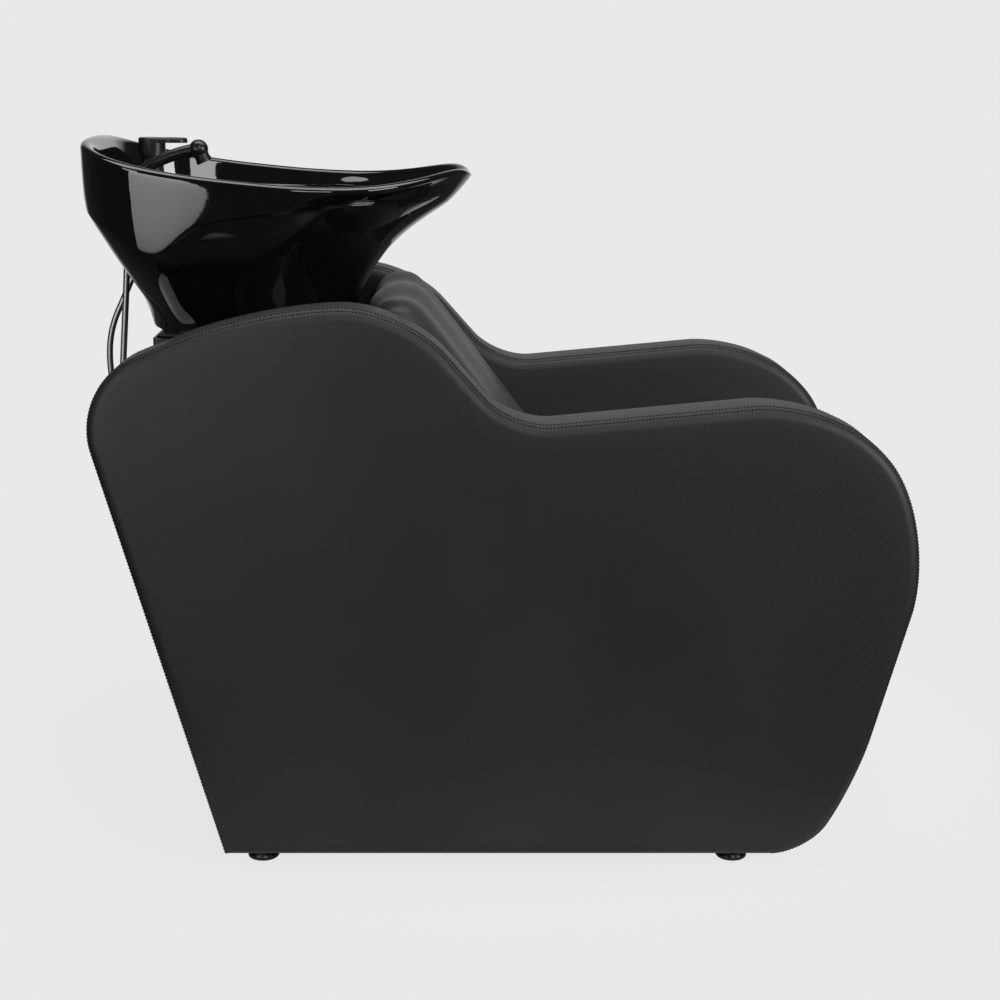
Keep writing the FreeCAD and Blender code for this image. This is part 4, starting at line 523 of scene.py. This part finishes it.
def lay_ring(verts, rear, front, half, height, rear_power=RIM_SQUARE[0], front_power=RIM_SQUARE[1]):
    """Sets a loop of vertices on a long rounded outline, square behind and narrow in front."""
    centre, reach = (rear + front) / 2, (front - rear) / 2
    for step, v in enumerate(verts):
        c, w = math.cos(2 * math.pi * step / TURN_STEPS), math.sin(2 * math.pi * step / TURN_STEPS)
        power = rear_power if c < 0 else front_power
        v.co.x = centre + math.copysign(reach * abs(c) ** (2 / power), c)
        v.co.y = math.copysign(half * abs(w) ** (2 / power), w)
        v.co.z = height(v.co.x, v.co.y)


def ease(low, high, value):
    share = min(1.0, max(0.0, (value - low) / (high - low)))
    return share * share * (3 - 2 * share)


def crease_at(x):
    return sum(float(np.interp(x + step, *zip(*CREASE))) for step in (-CREASE_BLUR, 0.0, CREASE_BLUR)) / 3


def row_ring(verts, row):
    """Lays one row of the shell. On the sides the outer rows follow the crease, and those under it step in."""
    rear, front, half, height, *step_in = row

    def level(x, y):
        plain = BOWL_BASE + height * (BOWL_RIM - BOWL_BASE)
        if row not in BOWL_OUTSIDE:
            return plain
        crease = min(crease_at(x), rim_height(x, y) - CREASE_UNDER_RIM)
        if height > CREASE_ROW:
            followed = crease + (height - CREASE_ROW) / (1 - CREASE_ROW) * (rim_height(x, y) - crease)
        else:
            followed = BOWL_BASE + height / CREASE_ROW * (crease - BOWL_BASE)
        return plain + (followed - plain) * min(1.0, (2 * y / BOWL_HALF) ** 2)

    upper = min(1.0, height) ** 2
    squares = [foot + gain * upper for foot, gain in zip(FOOT_SQUARE, SQUARE_GAIN)]
    lay_ring(verts, BOWL_CENTRE - rear * (BOWL_CENTRE - BOWL_REAR), BOWL_CENTRE + front * (BOWL_FRONT - BOWL_CENTRE),
             half * BOWL_HALF, level, *squares)
    for v in verts:
        along = ease(*CREASE_BEGINS, v.co.x) * (1 - ease(*CREASE_ENDS, v.co.x))
        along *= min(1.0, (2 * v.co.y / BOWL_HALF) ** 2)
        v.co.y -= math.copysign(CREASE_DEPTH * sum(step_in) * along, v.co.y)


def rim_ring(verts, turn):
    inset = RIM_WALL / 2 * (1 - math.cos(math.pi * turn))
    fall = RIM_ROLL * (1 - math.sin(math.pi * turn))
    lay_ring(verts, BOWL_REAR + inset, BOWL_FRONT - inset, BOWL_HALF - inset, lambda x, y: rim_height(x, y) - fall)


def next_ring(bm, verts):
    """Pulls the open edge of the shell on by one ring, and gives the new loop in the same order."""
    edges = [bm.edges.get((verts[i - 1], verts[i])) for i in range(len(verts))]
    pulled = bmesh.ops.extrude_edge_only(bm, edges=edges)["geom"]
    fresh = {v for v in pulled if isinstance(v, bmesh.types.BMVert)}
    return [next(e.other_vert(v) for e in v.link_edges if e.other_vert(v) in fresh) for v in verts]


def carve(made, operation, *shapes):
    """Cuts or joins plain shapes into the bowl."""
    tools = bpy.data.collections.new("cutters")
    bpy.context.scene.collection.children.link(tools)
    for bm in shapes:
        mesh = bpy.data.meshes.new("cutter")
        bmesh.ops.recalc_face_normals(bm, faces=bm.faces)
        bm.to_mesh(mesh)
        bm.free()
        tools.objects.link(bpy.data.objects.new("cutter", mesh))
    cut = made.modifiers.new("cut", "BOOLEAN")
    cut.operation = operation
    cut.solver = "EXACT"
    cut.operand_type = "COLLECTION"
    cut.collection = tools
    bpy.context.view_layer.update()
    settled(made)
    for cutter in tools.objects[:]:
        bpy.data.objects.remove(cutter)
    bpy.data.collections.remove(tools)


def round_bar(x, y, radius, low, high):
    bm = bmesh.new()
    bmesh.ops.create_cone(bm, cap_ends=True, segments=48, radius1=radius, radius2=radius, depth=high - low,
                          matrix=Matrix.Translation((x, y, (low + high) / 2)))
    return bm


bm = bmesh.new()
loop = bmesh.ops.create_circle(bm, cap_ends=True, segments=TURN_STEPS, radius=1.0)["verts"]
row_ring(loop, BOWL_OUTSIDE[0])
for row in BOWL_OUTSIDE[1:]:
    loop = next_ring(bm, loop)
    row_ring(loop, row)
for turn in RIM_TURNS:
    loop = next_ring(bm, loop)
    rim_ring(loop, turn)
for row in BOWL_INSIDE:
    loop = next_ring(bm, loop)
    row_ring(loop, row)
loop = next_ring(bm, loop)
lay_ring(loop, DRAIN_X - DRAIN_SEAT, DRAIN_X + DRAIN_SEAT, DRAIN_SEAT, lambda x, y: DRAIN_FLOOR, 2.0, 2.0)
bm.faces.new(loop)
bmesh.ops.recalc_face_normals(bm, faces=bm.faces)
mesh = bpy.data.meshes.new("glazed_bowl")
bm.to_mesh(mesh)
bm.free()
bowl = bpy.data.objects.new("glazed_bowl", mesh)
bpy.context.collection.objects.link(bowl)
even = bowl.modifiers.new("even_shell", "SUBSURF")
even.levels = even.render_levels = 2
bpy.context.view_layer.update()
settled(bowl)
bm = bmesh.new()
hollow = bm.faces.new([bm.verts.new((POCKET_REAR + x * POCKET_REACH, -POCKET_HALF,
                                     POCKET_LOW + z * (DECK_UNDER - POCKET_LOW))) for x, z in POCKET])
grown = bmesh.ops.extrude_face_region(bm, geom=[hollow], use_keep_orig=True)["geom"]
bmesh.ops.translate(bm, verts=[v for v in grown if isinstance(v, bmesh.types.BMVert)], vec=(0, 2 * POCKET_HALF, 0))
carve(bowl, "DIFFERENCE", bm, *[round_bar(x, y, DECK_BOSS, DECK_TOP, BOWL_RIM) for x, y, _ in DECK_HOLES])
carve(bowl, "UNION", *[round_bar(x, y, DECK_BOSS, DECK_UNDER, DECK_TOP) for x, y, _ in DECK_HOLES])
carve(bowl, "DIFFERENCE",
      *[round_bar(x, y, radius, DECK_UNDER - CUT_PAST, BOWL_RIM) for x, y, radius in DECK_HOLES],
      round_bar(DRAIN_X, 0, DRAIN_HOLE, BOWL_BASE - CUT_PAST, BOWL_RIM),
      round_bar(DRAIN_X, 0, DRAIN_RECESS, BOWL_BASE - CUT_PAST, BOWL_BASE + RECESS_DEEP))
mesh = bowl.data
for face in mesh.polygons:
    face.use_smooth = True
mesh.set_sharp_from_angle(angle=BOWL_SHARP)
glaze = mottled("jet_black_glaze", (0.0035, 0.0035, 0.0036), (0.005, 0.005, 0.0052), (9.0, 9.0, 9.0), 0.035, 0.012,
                0.00012, fine=9.0)
glaze.node_tree.nodes["Principled BSDF"].inputs["IOR"].default_value = GLAZE_IOR
mesh.materials.clear()
mesh.materials.append(glaze)
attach(bowl, "bowl_unit")
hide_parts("bowl")

# Waste: chrome flange and lift-out strainer in the basin floor, clamped by a nut and rubber seal
# under the bowl, over a black moulded outlet for a waste hose.
chrome = mottled("bright_chrome", (0.74, 0.75, 0.76), (0.82, 0.82, 0.82), (60.0, 60.0, 60.0), 0.07, 0.025, 0.00005,
                 metallic=1.0)
pipe_black = mottled("black_pipe_moulding", (0.010, 0.010, 0.010), (0.018, 0.018, 0.018), (40.0, 40.0, 40.0), 0.42,
                     0.06, 0.0003)
dress(chrome, "drain_flange", "hair_strainer")
dress(rubber, "drain_seal")
dress(pipe_black, "drain_nut", "waste_tailpiece")

# Tap: a satin black body on the deck with a loop lever over its cap, that turns and lifts on a ball;
# a red mark shows the hot side. Brass nut, inlet tails and hose nipple below the deck.
tap_black = mottled("satin_black_tap", (0.010, 0.010, 0.010), (0.014, 0.014, 0.014), (70.0, 70.0, 70.0), 0.34, 0.04,
                    0.00008)
brass = mottled("bare_brass", (0.55, 0.38, 0.15), (0.74, 0.56, 0.27), (90.0, 90.0, 90.0), 0.3, 0.08, 0.0001,
                metallic=1.0)
hot_red = mottled("hot_mark_red", (0.42, 0.012, 0.012), (0.56, 0.02, 0.02), (200.0, 200.0, 200.0), 0.3, 0.05, 0.0001)
dress(tap_black, "mixer_body", "mixer_lever")
dress(rubber, "mixer_seal")
dress(brass, "mixer_nut", "mixer_inlets", "hose_nipple", "mixer_swivel")
dress(hot_red, "lever_indicator")
dress(pipe_black, "mixer_cartridge")

# Hand shower: a satin black handle that stands in a holder through the deck, with a ringed nozzle
# and a rubber spray plate at its head.
shower_black = mottled("satin_black_shower", (0.010, 0.010, 0.010), (0.014, 0.014, 0.014), (70.0, 70.0, 70.0), 0.28,
                       0.04, 0.00008)
dress(shower_black, "shower_holder", "shower_cone_nut", "shower_handle", "shower_nozzle")
dress(rubber, "spray_plate")
dress(pipe_black, "holder_nut")

# Shower hose: smooth silver-grey hose, one length from the hand shower down through the deck,
# round a loop under the bowl and up to the nipple on the tap.
HOSE_ROUTE = ((-0.5002, -0.0600, 0.8690), (-0.5051, -0.0594, 0.7687), (-0.5121, -0.0594, 0.6741),
              (-0.5175, -0.0600, 0.5902), (-0.5207, -0.0600, 0.5400), (-0.5149, -0.0578, 0.4700),
              (-0.5040, -0.0550, 0.4000), (-0.4960, -0.0550, 0.3121), (-0.4960, 0.0419, 0.3059),
              (-0.5020, 0.0419, 0.4000), (-0.5171, 0.0419, 0.4700), (-0.5360, 0.0419, 0.5400),
              (-0.5510, 0.0419, 0.6100), (-0.5490, 0.0419, 0.6722), (-0.5230, 0.0419, 0.7282),
              (-0.5032, 0.0419, 0.7752), (-0.4970, 0.0419, 0.8150))
HOSE_RADIUS = 0.0045
line = bpy.data.curves.new("hose_line", "CURVE")
line.dimensions = "3D"
line.resolution_u = 12
spline = line.splines.new("NURBS")
spline.points.add(len(HOSE_ROUTE) - 1)
for point, spot in zip(spline.points, HOSE_ROUTE):
    point.co = (*spot, 1.0)
spline.order_u = 3
spline.use_endpoint_u = True
route = bpy.data.objects.new("hose_line", line)
bpy.context.collection.objects.link(route)


def laid_out(route):
    bpy.context.view_layer.update()
    return bpy.data.meshes.new_from_object(route.evaluated_get(bpy.context.evaluated_depsgraph_get()))


hose_path = [tuple(v.co) for v in laid_out(route).vertices]
line.bevel_depth = HOSE_RADIUS
line.bevel_resolution = 5
line.use_fill_caps = True
tube = laid_out(route)
bpy.data.objects.remove(route)
hose = bpy.data.objects.new("shower_hose_tube", tube)
bpy.context.collection.objects.link(hose)
for face in tube.polygons:
    face.use_smooth = True
hose_grey, nodes, links, shader = tree_of("silver_grey_hose")
cloud = noise(nodes, links, nodes.new("ShaderNodeTexCoord").outputs["Object"], 60.0, 2.0)
tinted(nodes, links, shader, cloud, (0.30, 0.305, 0.31), (0.36, 0.365, 0.37), (0.0, 1.0))
shader.inputs["Metallic"].default_value = 0.75
shader.inputs["Roughness"].default_value = 0.3
tube.materials.clear()
tube.materials.append(hose_grey)
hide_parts("shower_hose_upper", "shower_hose_loop")
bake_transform(hose)

# Floor and light: a pale floor and a pale backdrop behind the unit, a broad soft light overhead, a
# glowing card that leans at the left for the gloss, and a dark studio behind the camera.
PALE = (0.823, 0.815, 0.815)
FLOOR_LIT, FLOOR_GLOW, FLOOR_BACK = 0.12, 1.06, 0.28
FLOOR_RADIUS, FLOOR_FADE, FLOOR_DOWN = 0.88, (0.62, 0.86), 0.0005
# Painted shadow in reflections: near the unit the floor's glow, as glossy rays see it, is lowered to this share in
# an ellipse of this spread and fade.
SHADOW_PAINT_SPREAD, SHADOW_PAINT_FADE, SHADOW_PAINT_LEVEL = (0.95, 0.58), (0.8, 1.1), 0.12
STUDIO_DARK, BACKDROP = 0.05, (0.86, 0.99)
floor_bm = bmesh.new()
bmesh.ops.create_circle(floor_bm, cap_ends=True, segments=96, radius=FLOOR_RADIUS,
                        matrix=Matrix.Translation((0, FLOOR_BACK, -FLOOR_DOWN)))
floor_mesh = bpy.data.meshes.new("floor")
floor_bm.to_mesh(floor_mesh)
floor_bm.free()
floor = bpy.data.objects.new("floor", floor_mesh)
bpy.context.collection.objects.link(floor)
ground = bpy.data.materials.new("pale_floor")
ground.use_nodes = True
nodes, links = ground.node_tree.nodes, ground.node_tree.links
nodes.remove(nodes["Principled BSDF"])
matte = nodes.new("ShaderNodeBsdfDiffuse")
matte.inputs["Color"].default_value = (*PALE, 1)
glow = nodes.new("ShaderNodeEmission")
glow.inputs["Color"].default_value = (*PALE, 1)
place = nodes.new("ShaderNodeTexCoord").outputs["Object"]


def distance(nodes, links, spot, scale=(1, 1, 1), shift=(0, 0, 0)):
    """How far a place on the floor is from a middle, in its own measure for each direction."""
    laid = nodes.new("ShaderNodeMapping")
    laid.inputs["Location"].default_value = shift
    laid.inputs["Scale"].default_value = scale
    links.new(spot, laid.inputs["Vector"])
    length = nodes.new("ShaderNodeVectorMath")
    length.operation = "LENGTH"
    links.new(laid.outputs["Vector"], length.inputs[0])
    return length.outputs["Value"]


fade = carried(nodes, links, distance(nodes, links, place, shift=(0, -FLOOR_BACK, 0)), FLOOR_FADE,
               (1.0 - FLOOR_LIT, 1.0))
fade.interpolation_type = "SMOOTHSTEP"
# Painted shadow: the glow that glossy rays see on the floor is dimmed under and around the unit, because the
# emission carries no real shadow.
shade = carried(nodes, links, distance(nodes, links, place, (1 / SHADOW_PAINT_SPREAD[0], 1 / SHADOW_PAINT_SPREAD[1], 0)), SHADOW_PAINT_FADE,
                (SHADOW_PAINT_LEVEL, 1.0))
lift = carried(nodes, links, fade.outputs["Result"], (1.0 - FLOOR_LIT, 1.0), (FLOOR_GLOW, 1.0))
links.new(lift.outputs["Result"], glow.inputs["Strength"])


def seen_rays(nodes, links, mirrored):
    """1 for rays that show the pale ground straight to the camera or through glass; glossy rays take the given
    share, which on the floor is a painted shadow near the unit and in the sky is the backdrop's fall to the dark
    studio.
    """
    ray = nodes.new("ShaderNodeLightPath")
    gloss = summed(nodes, links, "MULTIPLY", ray.outputs["Is Glossy Ray"], mirrored)
    straight = summed(nodes, links, "MAXIMUM", ray.outputs["Is Camera Ray"], gloss)
    return summed(nodes, links, "MAXIMUM", straight, ray.outputs["Is Transmission Ray"])


shown = summed(nodes, links, "MULTIPLY", seen_rays(nodes, links, shade.outputs["Result"]), fade.outputs["Result"])
mix = nodes.new("ShaderNodeMixShader")
links.new(shown, mix.inputs["Fac"])
links.new(matte.outputs["BSDF"], mix.inputs[1])
links.new(glow.outputs["Emission"], mix.inputs[2])
links.new(mix.outputs["Shader"], nodes["Material Output"].inputs["Surface"])
floor_mesh.materials.append(ground)

world = bpy.data.worlds.new("studio")
bpy.context.scene.world = world
world.use_nodes = True
nodes, links = world.node_tree.nodes, world.node_tree.links
sky = nodes["Background"]
way = nodes.new("ShaderNodeTexCoord")
split = nodes.new("ShaderNodeSeparateXYZ")
links.new(way.outputs["Generated"], split.inputs["Vector"])
depth = carried(nodes, links, split.outputs["Y"], BACKDROP, (STUDIO_DARK, 1.0))
shown = nodes.new("ShaderNodeMath")
shown.operation = "MAXIMUM"
links.new(seen_rays(nodes, links, depth.outputs["Result"]), shown.inputs[0])
shown.inputs[1].default_value = STUDIO_DARK
sky.inputs["Color"].default_value = (*PALE, 1)
links.new(shown.outputs["Value"], sky.inputs["Strength"])


def softbox(name, spot, aim, size, power):
    lamp = bpy.data.lights.new(name, "AREA")
    lamp.shape = "RECTANGLE"
    lamp.size, lamp.size_y = size
    lamp.energy = power
    made = bpy.data.objects.new(name, lamp)
    bpy.context.collection.objects.link(made)
    made.location = spot
    made.rotation_euler = (Vector(aim) - Vector(spot)).to_track_quat("-Z", "Y").to_euler()


softbox("overhead_softbox", (0.0, 0.05, 2.9), (0, 0, 0.4), (3.0, 1.5), 45.0)
softbox("right_softbox", (2.9, -2.0, 1.5), (0.2, 0, 0.5), (1.2, 1.6), 56.0)
softbox("left_softbox", (-2.6, -2.4, 1.9), (-0.2, 0, 0.6), (0.8, 1.2), 10.0)
softbox("front_softbox", (0.9, -3.6, 2.6), (0.1, 0, 0.4), (1.4, 1.4), 30.0)

CARD_FOOT, CARD_TOP, CARD_HALF = Vector((-0.95, -1.04, 0.03)), Vector((-1.52, -2.15, 1.26)), 0.61
CARD_GLOW, CARD_ACROSS = (0.1, 4.8), Vector((-0.891, 0.454, 0.0))
across = CARD_ACROSS * CARD_HALF
bm = bmesh.new()
bm.faces.new([bm.verts.new(spot) for spot in (
    CARD_FOOT - across, CARD_FOOT + across, CARD_TOP + across, CARD_TOP - across)])
bmesh.ops.recalc_face_normals(bm, faces=bm.faces)
card_mesh = bpy.data.meshes.new("glow_card")
bm.to_mesh(card_mesh)
bm.free()
card = bpy.data.objects.new("glow_card", card_mesh)
bpy.context.collection.objects.link(card)
card.visible_camera = card.visible_diffuse = False
paper = bpy.data.materials.new("glow_card_paper")
paper.use_nodes = True
nodes, links = paper.node_tree.nodes, paper.node_tree.links
nodes.remove(nodes["Principled BSDF"])
shine = nodes.new("ShaderNodeEmission")
place = nodes.new("ShaderNodeTexCoord")
split = nodes.new("ShaderNodeSeparateXYZ")
links.new(place.outputs["Object"], split.inputs["Vector"])
rise = carried(nodes, links, split.outputs["Z"], (CARD_FOOT.z, CARD_TOP.z), CARD_GLOW)
links.new(rise.outputs["Result"], shine.inputs["Strength"])
links.new(shine.outputs["Emission"], nodes["Material Output"].inputs["Surface"])
card_mesh.materials.append(paper)
